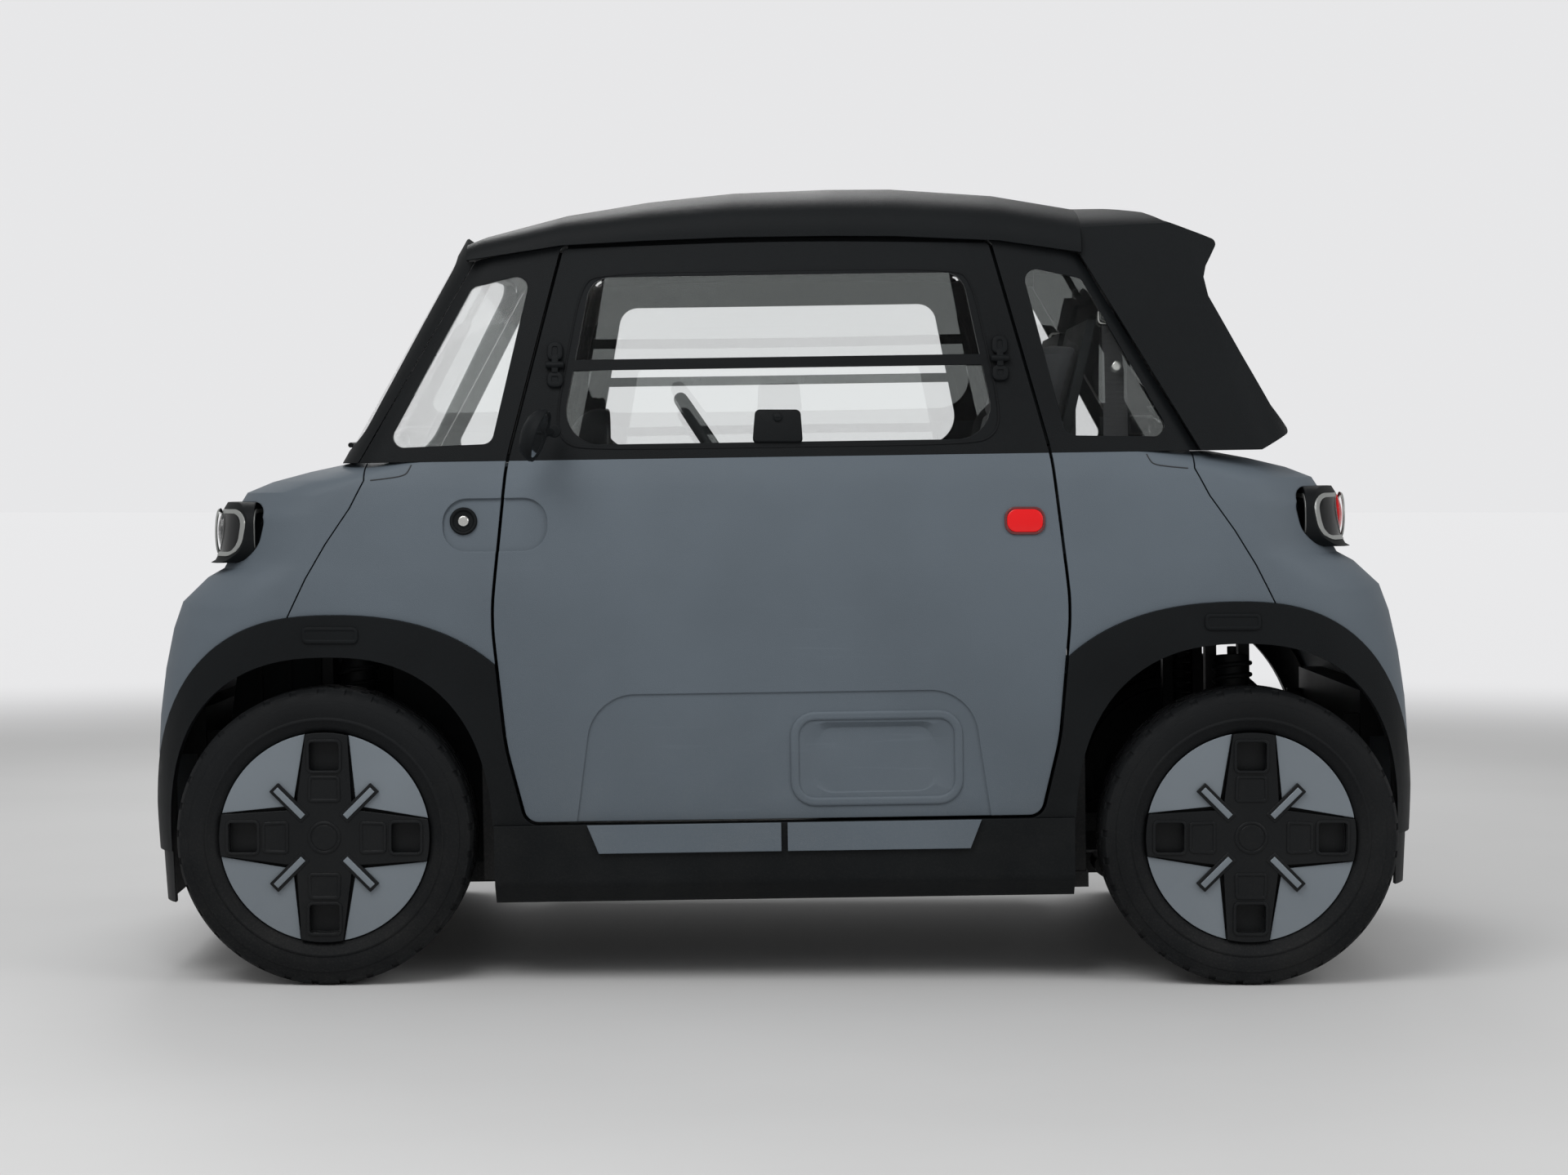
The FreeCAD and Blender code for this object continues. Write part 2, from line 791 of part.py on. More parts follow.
def make_doors():
    """Left door: panel below the belt, window frame above it and two panes; the right one is turned."""
    lower = lower_envelope(0).common(door_block.common(below_belt))
    inside = Part.makeBox(2 * outside, outside + d.door_inner_half_width, 2 * outside,
                          Vec(-outside, -outside, 0))
    panel = lower.cut(inside).cut([lock_recess(), door_emboss(), door_pocket()])
    upper = greenhouse_envelope(0).common(door_block.cut(below_belt))
    window = door_window_wire()
    opening = side_prism(window, 0, outside)
    inner = greenhouse_envelope(d.frame_wall)
    bar_low = d.hinge_bar_height - d.hinge_bar_width / 2
    bar_high = d.hinge_bar_height + d.hinge_bar_width / 2
    reach = d.window_half_length + d.overrun
    bar = side_prism(side_wire([(-reach, bar_low), (reach, bar_low), (reach, bar_high), (-reach, bar_high)]),
                     0, outside)
    frame = upper.cut(inner).cut(opening.cut(bar))
    frame = max(frame.Solids, key=lambda solid: solid.Volume)
    glass = greenhouse_envelope(d.pane_inset).common(side_prism(grown(window, -d.glazing_gap), 0, outside))
    glass = glass.cut(greenhouse_envelope(d.pane_inset + d.pane_wall))
    bar_room = side_prism(side_wire([(-reach, bar_low - d.glazing_gap), (reach, bar_low - d.glazing_gap),
                                     (reach, bar_high + d.glazing_gap), (-reach, bar_high + d.glazing_gap)]),
                          0, outside)
    glass = glass.cut(bar_room)
    mirror = door_mirror().cut(greenhouse_envelope(-d.running_gap))
    panel = panel.fuse(hinge_arms())
    for side, turn in (("left", lambda shape: shape), ("right", turned)):
        shaped(f"door_panel_{side}", [turn(panel)])
        shaped(f"door_window_frame_{side}", [turn(frame)])
        shaped(f"door_panes_{side}", [turn(solid) for solid in glass.Solids])
        flip = reflected(mirror) if side == "right" else mirror
        shaped(f"mirror_{side}", [flip])


def door_emboss():
    """A shallow step under an arched line, down to the door's foot."""
    half = d.emboss_half_length
    foot = d.door_bottom - d.overrun
    wire = side_wire([(half + d.overrun, foot), (half, d.emboss_top, d.emboss_radius),
                      (-half, d.emboss_top, d.emboss_radius), (-half - d.overrun, foot)])
    return side_prism(wire, d.body_width / 4, outside).cut(lower_envelope(d.emboss_depth))


def door_pocket():
    """A pocket with rounded corners whose walls slope inwards."""
    wires = []
    half_width = d.body_width / 2
    for depth, shrink in ((-d.emboss_depth, 0), (d.pocket_depth, d.pocket_slope)):
        across = (d.pocket_length - 2 * shrink) / 2
        up = (d.pocket_width - shrink) / 2
        radius = d.pocket_radius - shrink / 3
        wire = side_wire([(d.pocket_place + across, d.pocket_height + up, radius),
                          (d.pocket_place - across, d.pocket_height + up, radius),
                          (d.pocket_place - across, d.pocket_height - up, radius),
                          (d.pocket_place + across, d.pocket_height - up, radius)])
        wire.translate(Vec(0, half_width - depth, 0))
        wires.append(wire)
    return Part.makeLoft(wires, True, True)


def hinge_arc(inner, outer, start, sweep, bottom, height):
    """A curved bar round the left door's axis; angles run from straight ahead towards the cabin."""
    axis = Vec(-d.door_axis_ahead, d.door_axis_out, bottom)
    ring = Part.makeCylinder(outer, height, axis, Vec(0, 0, 1), sweep)
    ring = ring.cut(Part.makeCylinder(inner, 2 * height, axis - Vec(0, 0, height / 2)))
    ring.rotate(axis, Vec(0, 0, 1), -start - sweep)
    return ring


def hinge_arms():
    """The left door's two curved hinge arms, which slide in guides on the door post."""
    arms = []
    wall = d.hinge_arm_wall
    for level in (d.hinge_low, d.hinge_high):
        bottom = level - d.hinge_arm_width / 2
        arms.append(hinge_arc(d.hinge_arm_radius - wall / 2, d.hinge_arm_radius + wall / 2,
                              d.hinge_arm_start, d.hinge_arm_sweep, bottom, d.hinge_arm_width))
        corner = Vec(-d.door_axis_ahead + d.hinge_arm_radius * 2 / 3,
                     d.door_inner_half_width - 2 * wall, bottom)
        arms.append(Part.makeBox(4 * wall, 2 * wall, d.hinge_arm_width, corner))
    return arms


def hinge_guides():
    """Blocks on the door post that the hinge arms slide through."""
    guides = []
    wall = d.hinge_arm_wall
    gap = d.running_gap
    post_out = d.tub_half_width - gap
    for level in (d.hinge_low, d.hinge_high):
        height = d.hinge_arm_width + 2 * wall
        block = Part.makeBox(d.post_size, d.door_axis_out - d.hinge_arm_radius + 2 * wall - post_out, height,
                             Vec(-d.post_place - d.post_size / 2, post_out, level - height / 2))
        slot = hinge_arc(d.hinge_arm_radius - wall / 2 - gap, d.hinge_arm_radius + wall / 2 + gap,
                         d.hinge_arm_start, 2 * d.hinge_arm_start, level - d.hinge_arm_width / 2 - gap,
                         d.hinge_arm_width + 2 * gap)
        guides.append(block.cut(slot))
    return guides


def door_window_wire():
    top = d.window_half_length * DOOR_WINDOW_TOP_SHARE
    radius = d.window_corner_radius
    low_radius = radius * 3 / 2
    return side_wire([(d.window_half_length, d.window_sill, low_radius), (top, d.window_head, radius),
                      (-top, d.window_head, radius), (-d.window_half_length, d.window_sill, low_radius)])


def door_mirror():
    """A round mirror head on a short arm from the window frame's front corner."""
    centre = Vec(d.mirror_ahead, d.mirror_half_track, d.mirror_height)
    back = centre - Vec(d.mirror_depth / 2, 0, 0)
    head = Part.makeCylinder(d.mirror_radius, d.mirror_depth, back, Vec(1, 0, 0))
    edge = d.mirror_depth / 3
    front_edges = [e for e in head.Edges if e.BoundBox.XMin > centre.x]
    head = head.makeChamfer(edge, front_edges)
    frame_side = d.belt_half_width
    root = frame_side - d.overrun
    arm = Part.makeCylinder(d.mirror_arm_radius, d.mirror_half_track - root,
                            Vec(centre.x, root, centre.z - d.mirror_radius / 2), Vec(0, 1, 0))
    return head.fuse(arm)


def pillar_at(height):
    """How far ahead the pillar line is at a height above the ground."""
    share = (height - d.belt_height) / (d.pillar_top_height - d.belt_height)
    return d.pillar_base + (d.pillar_top - d.pillar_base) * share


def quarter_corner(along, up):
    """A point of the quarter window area from shares of its length and height."""
    height = d.belt_height + (d.pillar_top_height - d.belt_height) * up
    length, level, _ = DOOR_SHARES[3]
    base = d.door_half_length * length
    base_height = d.door_bottom + (d.door_top - d.door_bottom) * level
    top = d.door_half_length * DOOR_SHARES[4][0]
    top_height = d.door_bottom + (d.door_top - d.door_bottom) * DOOR_SHARES[4][1]
    door = base + (top - base) * (height - base_height) / (top_height - base_height) + d.shut_gap
    return door + (pillar_at(height) - door) * along, height


def roof_edge_points(front):
    """Side view points just under the roof's edge, from its front or rear end to the middle."""
    points = []
    for reach, edge_drop, _ in ROOF_STATION_SHARES:
        if (reach > 0) == front:
            height = d.roof_edge - (d.roof_crown - d.roof_edge) * edge_drop - 2 * d.running_gap
            points.append((abs(reach) * (d.roof_front if front else d.roof_rear), height))
    return points if front else points[::-1]


def make_glasshouse():
    """Quarter windows, windscreen and their frames."""
    gap = d.seam_gap
    radius = d.window_corner_radius / 2
    sill = d.belt_height + d.running_gap
    inner = d.body_width / 4
    outer = greenhouse_envelope(0).cut(greenhouse_envelope(d.frame_wall))
    glass = greenhouse_envelope(d.pane_inset).cut(greenhouse_envelope(d.pane_inset + d.pane_wall))
    window = side_wire([quarter_corner(*share) + (radius,) for share in QUARTER_WINDOW_SHARES])
    hole = side_prism(window, 0, outside)
    pane = glass.common(side_prism(grown(window, -d.glazing_gap), inner, outside))
    frames = []
    for front in (True, False):
        edge = roof_edge_points(front)
        past = [(reach, height) for reach, height in edge if reach < pillar_at(height) - gap / 2]
        head = edge[0][1]
        area = side_wire([(0, sill), (pillar_at(sill) - gap / 2, sill), (pillar_at(head) - gap / 2, head)]
                         + past + [(0, edge[-1][1])])
        frame = outer.common(side_prism(area, inner, outside)).cut([door_clearance, hole])
        frame = max(frame.Solids, key=lambda solid: solid.Volume)
        pair = [frame, reflected(frame)]
        frames += pair if front else [turned(item) for item in pair]
    panes = [pane, reflected(pane)]
    shaped("quarter_window_frames", frames)
    shaped("quarter_window_panes", panes + [turned(item) for item in panes])
    make_windscreen()


def make_windscreen():
    """The raked screen and the frame that it sits in."""
    gap = d.seam_gap
    sill = d.belt_height + d.running_gap
    ahead = d.screen_base + d.overrun
    top = d.greenhouse_top - 2 * gap
    back = d.roof_front + d.running_gap
    head = roof_edge_points(True)[0][1]
    area = side_wire([(pillar_at(sill) + gap / 2, sill), (pillar_at(head) + gap / 2, head), (back, head),
                      (back, top), (ahead, top), (ahead, sill)])
    layer = greenhouse_envelope(0).common(side_prism(area, -outside, outside))
    layer = layer.cut(greenhouse_envelope(d.screen_frame_wall))
    border = d.screen_border
    round_corner = d.window_corner_radius
    opening = front_wire([(d.belt_half_width - border, sill + border / 3, round_corner),
                          (d.roof_half_width - border, top - border / 2, round_corner),
                          (border - d.roof_half_width, top - border / 2, round_corner),
                          (border - d.belt_half_width, sill + border / 3, round_corner)])
    hole = front_prism(opening, 0, ahead)
    room = front_prism(grown(opening, -d.glazing_gap), back, ahead)
    screen = greenhouse_envelope(d.pane_inset).common(room)
    screen = screen.cut(greenhouse_envelope(d.pane_inset + d.screen_wall))
    shaped("windscreen_frame", [layer.cut(hole)])
    shaped("windscreen", [max(screen.Solids, key=lambda solid: solid.Volume)])


def make_rear_screen():
    """The black tail of the glasshouse, with a spoiler lip, a recessed window and a lower lip."""
    rise = d.roof_crown - d.belt_height
    rear = d.roof_rear + d.running_gap

    def at(reach, height, radius=0):
        return (-reach, d.belt_height + rise * height, radius)

    lead = [at(rear * x, z) for x, z in REAR_OUTLINE_SHARES]
    soft = d.window_corner_radius
    spoiler = (-d.spoiler_reach, d.spoiler_height, soft / 4)
    recess = [at(d.spoiler_reach * x, z) for x, z in REAR_RECESS_SHARES]
    lip = (-d.lip_reach, d.lip_height, soft / 5)
    sill_height = d.belt_height + d.running_gap
    head_height = roof_edge_points(False)[0][1]
    foot = [(-d.lip_reach + 3 * soft / 2, sill_height),
            (-pillar_at(sill_height) - d.seam_gap / 2, sill_height),
            (-pillar_at(head_height) - d.seam_gap / 2, head_height),
            (-rear, head_height)]
    outline = side_wire(lead + [spoiler] + recess + [lip] + foot)
    envelope = rear_envelope()
    block = envelope.common(side_prism(outline, -outside, outside))
    block = block.common(tail_limit(0))
    wall = d.roof_wall
    hollow = side_prism(outline, -d.roof_half_width + wall, d.roof_half_width - wall)
    hollow.translate(Vec(wall, 0, -wall))
    hollow = hollow.common(tail_limit(wall))
    half = d.rear_window_half_width
    sill = d.lip_height + 3 * wall / 2
    head = d.spoiler_height - 5 * wall / 2
    window = front_wire([(-half, sill, soft), (half, sill, soft), (half, head, soft), (-half, head, soft)])
    surround = block.cut(hollow).cut(front_prism(window, -outside, 0))
    shaped("rear_screen_surround", [max(surround.Solids, key=lambda solid: solid.Volume)])
    glass = side_prism(outline, -half, half)
    glass = glass.common(front_prism(grown(window, -d.glazing_gap), -outside, 0))
    inner = glass.copy()
    glass.translate(Vec(d.pane_inset, 0, 0))
    inner.translate(Vec(d.pane_inset + d.screen_wall, 0, 0))
    keep = front_prism(grown(window, -d.glazing_gap), -outside, -d.spoiler_reach + 3 * wall)
    glass = glass.cut(inner).common(keep)
    shaped("rear_screen", [max(glass.Solids, key=lambda solid: solid.Volume)])


def tail_limit(inset):
    """What the roof's arch covers when it is carried on rearwards, in from its surface by the inset."""
    arch = Part.Face(roof_station(*ROOF_STATION_SHARES[-1], inset)).extrude(Vec(-outside, 0, 0))
    arch.translate(Vec(d.overrun, 0, 0))
    half = d.roof_side - inset if inset else outside
    edge = d.roof_edge - (d.roof_crown - d.roof_edge) * ROOF_STATION_SHARES[-1][1]
    under = Part.makeBox(2 * outside, 2 * half, edge, Vec(-outside, -half, 0))
    return arch.fuse(under)


def rear_envelope():
    """Plan form of the tail above the belt, boxy with rounded corners."""
    wires = []
    for height, come_in in GREENHOUSE_SHARES:
        level = d.belt_height + (d.greenhouse_top - d.belt_height) * height
        reach = d.lip_reach + d.tail_margin - d.lip_overhang * height
        wide = d.belt_half_width + (d.roof_half_width - d.belt_half_width) * come_in
        wires.append(plan_section(d.screen_base, -reach, wide, d.screen_corner_radius, level))
    return Part.makeLoft(wires, True, True)


def roof_station(reach, edge_drop, crown_drop, inset=0):
    """An arched cross-section of the roof, closed below its edges."""
    x = reach * (d.roof_front if reach > 0 else d.roof_rear)
    rise = d.roof_crown - d.roof_edge
    edge = d.roof_edge - rise * edge_drop
    height = d.roof_crown - rise * crown_drop - inset - edge
    half = d.roof_side - inset
    steps = 10
    points = []
    for i in range(steps + 1):
        angle = math.pi * i / steps
        share = abs(math.cos(angle))**(2 / ROOF_EXPONENT)
        lift = abs(math.sin(angle))**(2 / ROOF_EXPONENT)
        points.append(Vec(x, math.copysign(share, math.cos(angle)) * half, edge + height * lift))
    points[0] = Vec(x, half, edge)
    points[steps // 2] = Vec(x, 0, edge + height)
    points[-1] = Vec(x, -half, edge)
    curve = Part.BSplineCurve()
    curve.interpolate(points)
    edges = [curve.toShape()]
    if inset:
        left = points[0] - Vec(0, 0, inset)
        right = points[-1] - Vec(0, 0, inset)
        edges += [Part.makeLine(points[-1], right), Part.makeLine(right, left),
                  Part.makeLine(left, points[0])]
    else:
        edges.append(Part.makeLine(points[-1], points[0]))
    return Part.Wire(edges)


def make_roof():
    """A crowned roof shell lofted through arched stations."""
    outer = Part.makeLoft([roof_station(*share) for share in ROOF_STATION_SHARES], True, True)
    past_front, past_rear = ROOF_OVERRUN_SHARES
    shares = (past_front,) + ROOF_STATION_SHARES + (past_rear,)
    inner = Part.makeLoft([roof_station(*share, d.roof_wall) for share in shares], True, True)
    shaped("roof_panel", [outer.cut(inner)])


def make_sills():
    """Black rockers below the doors, each with two painted strips."""
    top = sill_top
    base = d.skirt_height
    inner = d.sill_inner
    outer = d.sill_outer
    depth = outer - inner
    profile = front_wire([(inner, base), (outer - depth / 3, base, depth / 6),
                          (outer - depth / 20, base + depth / 3, depth / 4), (outer, top), (inner, top)])
    sill = front_prism(profile, -d.sill_half_length, d.sill_half_length)
    low_edge = top - d.strip_height
    slant = d.strip_height * 2 / 5
    gap = d.strip_centre_gap / 2
    strips = []
    for way in (1, -1):
        wire = side_wire([(way * gap, low_edge), (way * d.strip_half_length, low_edge),
                          (way * (d.strip_half_length + slant), top), (way * gap, top)])
        strip = side_prism(wire, outer - depth / 2, outer + d.strip_proud).cut(sill)
        strips.append(max(strip.Solids, key=lambda solid: solid.BoundBox.YMax))
    shaped("sills", [sill, reflected(sill)])
    shaped("sill_strips", strips + [reflected(item) for item in strips])


# Chassis, tub and running gear

def make_chassis():
    """Two rails, cross members and suspension towers."""
    half = "rail_size / 2"
    rail = box("rail", ("-rail_end", "rail_end"), (f"rail_half_track - {half}", f"rail_half_track + {half}"),
               ("rail_bottom", "rail_bottom + rail_size"))
    parts = [rail, mirrored(rail, "rail_right")]
    level = ("rail_bottom", "rail_bottom + cross_tube")
    places = ("rail_end - rail_size", "tub_front", "-tub_rear", "rail_size - rail_end")
    for index, place in enumerate(places):
        wide = "rail_half_track" if index in (0, 3) else "sill_inner - running_gap"
        parts.append(box(f"cross_member_{index}", (f"{place} - cross_tube / 2", f"{place} + cross_tube / 2"),
                         (f"-({wide})", wide), level))
    face = f"rail_half_track + {half}"
    for index, axle in enumerate((AXLE_AHEAD, AXLE_BEHIND)):
        for leg, (low_x, high_x) in enumerate((("-tower_length / 2", "-tower_length / 4"),
                                               ("tower_length / 4", "tower_length / 2"))):
            item = box(f"tower_{index}_leg_{leg}", (f"{axle} + {low_x}", f"{axle} + {high_x}"),
                       (f"{face} - tower_depth", face), ("rail_bottom + rail_size / 2", "tower_height"))
            parts += [item, mirrored(item, f"tower_{index}_leg_{leg}_right")]
        cap = box(f"tower_{index}_cap", (f"{axle} - tower_length / 2", f"{axle} + tower_length / 2"),
                  (f"{face} - tower_depth", f"{face} + spring_radius"),
                  ("tower_height - rail_size / 4", "tower_height"))
        parts += [cap, mirrored(cap, f"tower_{index}_cap_right")]
    sub_part(fused("frame_members", parts), "chassis_frame")


def make_door_posts():
    """A post at each end of each doorway; the hinge arms slide in guides on two of them."""
    posts = []
    for end, sign, head in (("front", "", "dash_bottom - cross_tube - running_gap"),
                            ("rear", "-", "ring_height - cross_tube - running_gap")):
        place = f"{sign}(post_place)"
        post = box(f"{end}_post", (f"{place} - post_size / 2", f"{place} + post_size / 2"),
                   ("tub_half_width - post_size", "tub_half_width - running_gap"),
                   ("rail_bottom + cross_tube + running_gap", head))
        other = mirrored(post, f"{end}_post_right")
        plain, hinged = (post, other) if end == "front" else (other, post)
        items = [hinged]
        for guide in hinge_guides():
            item = doc.addObject("Part::Feature", f"{end}_hinge_guide")
            item.Shape = turned(guide) if end == "front" else guide
            items.append(item)
        posts += [plain, fused(f"{end}_post_with_guides", items)]
    sub_part(grouped("door_post_set", posts), "door_posts")


def make_bumper_beams():
    """Beams behind the nose and tail skins, each on two struts from the rails."""
    room = Part.makeBox(outside, 2 * d.rail_half_track + d.rail_size, d.beam_width,
                        Vec(d.rail_end, -d.rail_half_track - d.rail_size / 2,
                            d.beam_height - d.beam_width / 2))
    beam = lower_envelope(d.skin_wall + d.running_gap).common(room)
    foot = d.rail_bottom + d.rail_size + d.running_gap
    width = d.rail_size / 2
    struts = []
    for side in (1, -1):
        corner = Vec(d.rail_end - d.cross_tube, side * d.rail_half_track - width / 2, foot)
        struts.append(Part.makeBox(d.cross_tube + width, width, d.beam_height - foot, corner))
    beam = beam.fuse(struts)
    shaped("bumper_beams", [beam, turned(beam)])


def make_belt_rings():
    """Ledges round the nose and tail below the belt, on brackets from the door posts."""
    inset = d.skin_wall + 2 * d.running_gap
    room = Part.makeBox(outside, 2 * outside, d.ring_width,
                        Vec(d.post_place - d.post_size / 2, -outside, d.ring_height - d.ring_width / 2))
    ledge = lower_envelope(inset).common(room).cut(lower_envelope(inset + d.ring_wall))
    reach = d.body_width / 2 - inset - d.ring_wall - d.side_bow / 2
    start = d.tub_half_width - d.post_size
    rings = []
    for bottom in (d.dash_bottom - d.cross_tube, d.ring_height - d.cross_tube):
        ring = ledge
        for side in (1, -1):
            low = start if side > 0 else -reach
            bracket = Part.makeBox(d.post_size, reach - start, d.cross_tube - d.running_gap,
                                   Vec(d.post_place - d.post_size / 2, low, bottom))
            riser_low = reach - d.ring_wall if side > 0 else -reach
            riser = Part.makeBox(d.post_size, d.ring_wall, d.ring_height - bottom,
                                 Vec(d.post_place - d.post_size / 2, riser_low, bottom))
            ring = ring.fuse([bracket, riser])
        rings.append(ring)
    shaped("belt_rings", [rings[0], turned(rings[1])])


def make_tub():
    """Floor, bulkheads, footwell and luggage shelf in one moulding."""
    floor_low = "rail_bottom + rail_size"
    floor = (floor_low, f"{floor_low} + floor_wall")
    wall = "floor_wall"
    room = "post_place - post_size / 2 - seam_gap"
    shelf = "tub_half_width - post_size - seam_gap"
    parts = [
        box("floor", (f"-({room})", room), ("-tub_half_width", "tub_half_width"), floor),
        box("footwell_floor", (room, "footwell_front"), ("-footwell_half_width", "footwell_half_width"),
            floor),
        box("toe_board", (f"footwell_front - {wall}", "footwell_front"),
            ("-footwell_half_width", "footwell_half_width"), (floor_low, "scuttle_height")),
        box("rear_bulkhead", (f"-({room})", f"{wall} - ({room})"), ("-tub_half_width", "tub_half_width"),
            (floor_low, "shelf_height")),
        box("luggage_shelf", ("-shelf_reach", f"{wall} - ({room})"), (f"-({shelf})", shelf),
            (f"shelf_height - {wall}", "shelf_height")),
        box("back_wall", ("-shelf_reach", f"{wall} - shelf_reach"), (f"-({shelf})", shelf),
            ("shelf_height", "belt_height - 2 * overrun")),
    ]
    side = box("footwell_side", (f"{room} - {wall}", "footwell_front"),
               (f"footwell_half_width - {wall}", "footwell_half_width"), (floor_low, "scuttle_height"))
    bulkhead = box("front_bulkhead", (f"{room} - {wall}", room),
                   (f"footwell_half_width - {wall}", "tub_half_width"), (floor_low, "scuttle_height"))
    parts += [side, mirrored(side, "footwell_side_right")]
    parts += [bulkhead, mirrored(bulkhead, "front_bulkhead_right")]
    sub_part(fused("tub_walls", parts), "cabin_tub")


def make_power():
    """Battery below the passenger seat and a motor between the front wheels."""
    floor_top = "rail_bottom + rail_size + floor_wall"
    battery = box("battery_block", ("-seat_front - battery_length", "-seat_front"),
                  ("-driver_half_track - battery_width / 2", "battery_width / 2 - driver_half_track"),
                  (floor_top, f"{floor_top} + battery_height"))
    sub_part(grouped("battery_pack", [battery]), "traction_battery")
    axle = AXLE_AHEAD
    motor = rod("motor_case", "y", (axle, "-motor_length / 2", "motor_height"), "motor_radius",
                "motor_length")
    gearbox = box("gearbox", (f"{axle} - gearbox_length * 2 / 3", f"{axle} + gearbox_length / 3"),
                  ("-gearbox_width / 2", "gearbox_width / 2"),
                  ("tyre_radius - gearbox_length / 2", "motor_height"))
    tower_face = "rail_half_track + rail_size / 2 - tower_depth - running_gap"
    mount = box("motor_mount", (f"{axle} - tower_length / 3", f"{axle} + tower_length / 3"),
                (f"-({tower_face})", tower_face),
                ("motor_height - cross_tube / 2", "motor_height + cross_tube / 2"))
    shaft_end = "kingpin_half_track - knuckle_depth - running_gap"
    shaft = rod("drive_shafts", "y", (axle, f"-({shaft_end})", "tyre_radius"), "shaft_radius",
                f"2 * ({shaft_end})")
    sub_part(fused("motor_and_shafts", [motor, gearbox, mount, shaft]), "drive_unit", on_body=False)


def arm_body(name, base_half, level_sign):
    """A flat suspension arm with a kingpin eye, level above or below the front axle."""
    body = doc.addObject("PartDesign::Body", name)
    root = "rail_half_track + rail_size / 2"
    neck = f"{root} + (kingpin_half_track - {root}) / 3"
    eye = "kingpin_half_track"
    axle = AXLE_AHEAD
    tip = "arm_eye_radius"
    outline = [(f"{axle} - {base_half}", root), (f"{axle} + {base_half}", root),
               (f"{axle} + {tip} * 3 / 2", neck),
               (f"{axle} + {tip}", eye), (f"{axle} - {tip}", eye), (f"{axle} - {tip} * 3 / 2", neck)]
    sketch = sketch_on(body, f"{name}_outline", "XY_Plane", outline)
    pad(body, f"{name}_plate", sketch, "arm_wall")
    level = f"tyre_radius {level_sign} ball_offset"
    body.setExpression("Placement.Base.z", formula(level))
    end = rod(f"{name}_eye", "z", (axle, eye, f"{level} - arm_wall / 2"), tip, "arm_wall")
    return fused(f"{name}_whole", [body, end])


def make_front_suspension():
    """Upper and lower arms with kingpin eyes, and a spring and damper unit on each side."""
    axle = AXLE_AHEAD
    lower = arm_body("lower_arm", "arm_base_half_length", "-")
    upper = arm_body("upper_arm", "tower_length / 2", "+")
    pin_room = rod("kingpin_room", "z", (axle, "kingpin_half_track", "0"), "kingpin_radius + running_gap",
                   "tower_height")
    root = value("rail_half_track + rail_size / 2")
    low_end = Vec(value(axle) - d.damper_offset, root + (d.kingpin_half_track - root) * 2 / 5,
                  d.tyre_radius - d.ball_offset)
    top_end = Vec(low_end.x, root + d.spring_radius, d.tower_height - d.rail_size)
    run = top_end - low_end
    rod_part = Part.makeCylinder(d.damper_rod_radius, run.Length, low_end, run)
    spring_start = low_end + run * (3 / 5)
    spring = Part.makeCylinder(d.spring_radius, run.Length * 2 / 5, spring_start, run)
    case = Part.makeCylinder(d.damper_radius, run.Length / 4, low_end + run * (2 / 5), run)
    damper = doc.addObject("Part::Feature", "damper")
    damper.Shape = rod_part.fuse([spring, case])
    slot = Part.makeCylinder(d.damper_rod_radius + d.shut_gap, run.Length, low_end + run / 8, run)
    slot_item = doc.addObject("Part::Feature", "damper_slot")
    slot_item.Shape = slot
    side = fused("front_corner", [lower, cut("slotted_upper_arm", upper, slot_item), damper])
    side = cut("front_corner_bored", side, pin_room)
    group = grouped("front_corners", [side, mirrored(side, "front_corner_right")])
    sub_part(group, "front_suspension", on_body=False)


def make_rear_suspension():
    """Trailing arms with stub axles and a spring and damper unit on each side."""
    hub = Vec(-(d.axle_half_base + d.wheelbase_shift), 0, d.tyre_radius)
    root_y = d.rail_half_track + d.rail_size / 2
    arm_y = (root_y + d.wheel_half_track - d.tyre_width / 2) / 2
    size = d.cross_tube
    pivot = Vec(-d.tub_rear - 2 * size, arm_y, d.skirt_height + d.rail_size)
    sideways = Vec(0, 1, 0)
    spine = Part.makePolygon([pivot + Vec(0, 0, size / 3), Vec(hub.x, arm_y, hub.z + size / 2),
                              Vec(hub.x, arm_y, hub.z - size / 2), pivot - Vec(0, 0, size / 3),
                              pivot + Vec(0, 0, size / 3)])
    arm = Part.Face(spine).extrude(Vec(0, size, 0))
    arm.translate(Vec(0, -size / 2, 0))
    bush = Part.makeCylinder(size * 2 / 3, arm_y - root_y + size / 2, Vec(pivot.x, root_y, pivot.z),
                             sideways)
    carrier = Part.makeCylinder(size, size, Vec(hub.x, arm_y - size / 2, hub.z), sideways)
    stub_end = d.wheel_half_track + d.rim_width / 2 - d.seam_gap
    stub_start = arm_y + size / 3
    stub = Part.makeCylinder(d.hub_bore_radius - d.running_gap, stub_end - stub_start,
                             Vec(hub.x, stub_start, hub.z), sideways)
    low_end = Vec(hub.x, arm_y, hub.z)
    top_end = Vec(hub.x, root_y + d.spring_radius, d.tower_height - d.rail_size / 2)
    reach = top_end - low_end
    rod_part = Part.makeCylinder(d.damper_rod_radius, reach.Length, low_end, reach)
    case = Part.makeCylinder(d.damper_radius, reach.Length / 3, low_end + reach / 4, reach)
    spring = Part.makeCylinder(d.spring_radius, reach.Length * 2 / 5, low_end + reach * (11 / 20), reach)
    side = arm.fuse([bush, carrier, stub, rod_part, case, spring])
    shaped("rear_suspension", [side, reflected(side)], on_body=False)


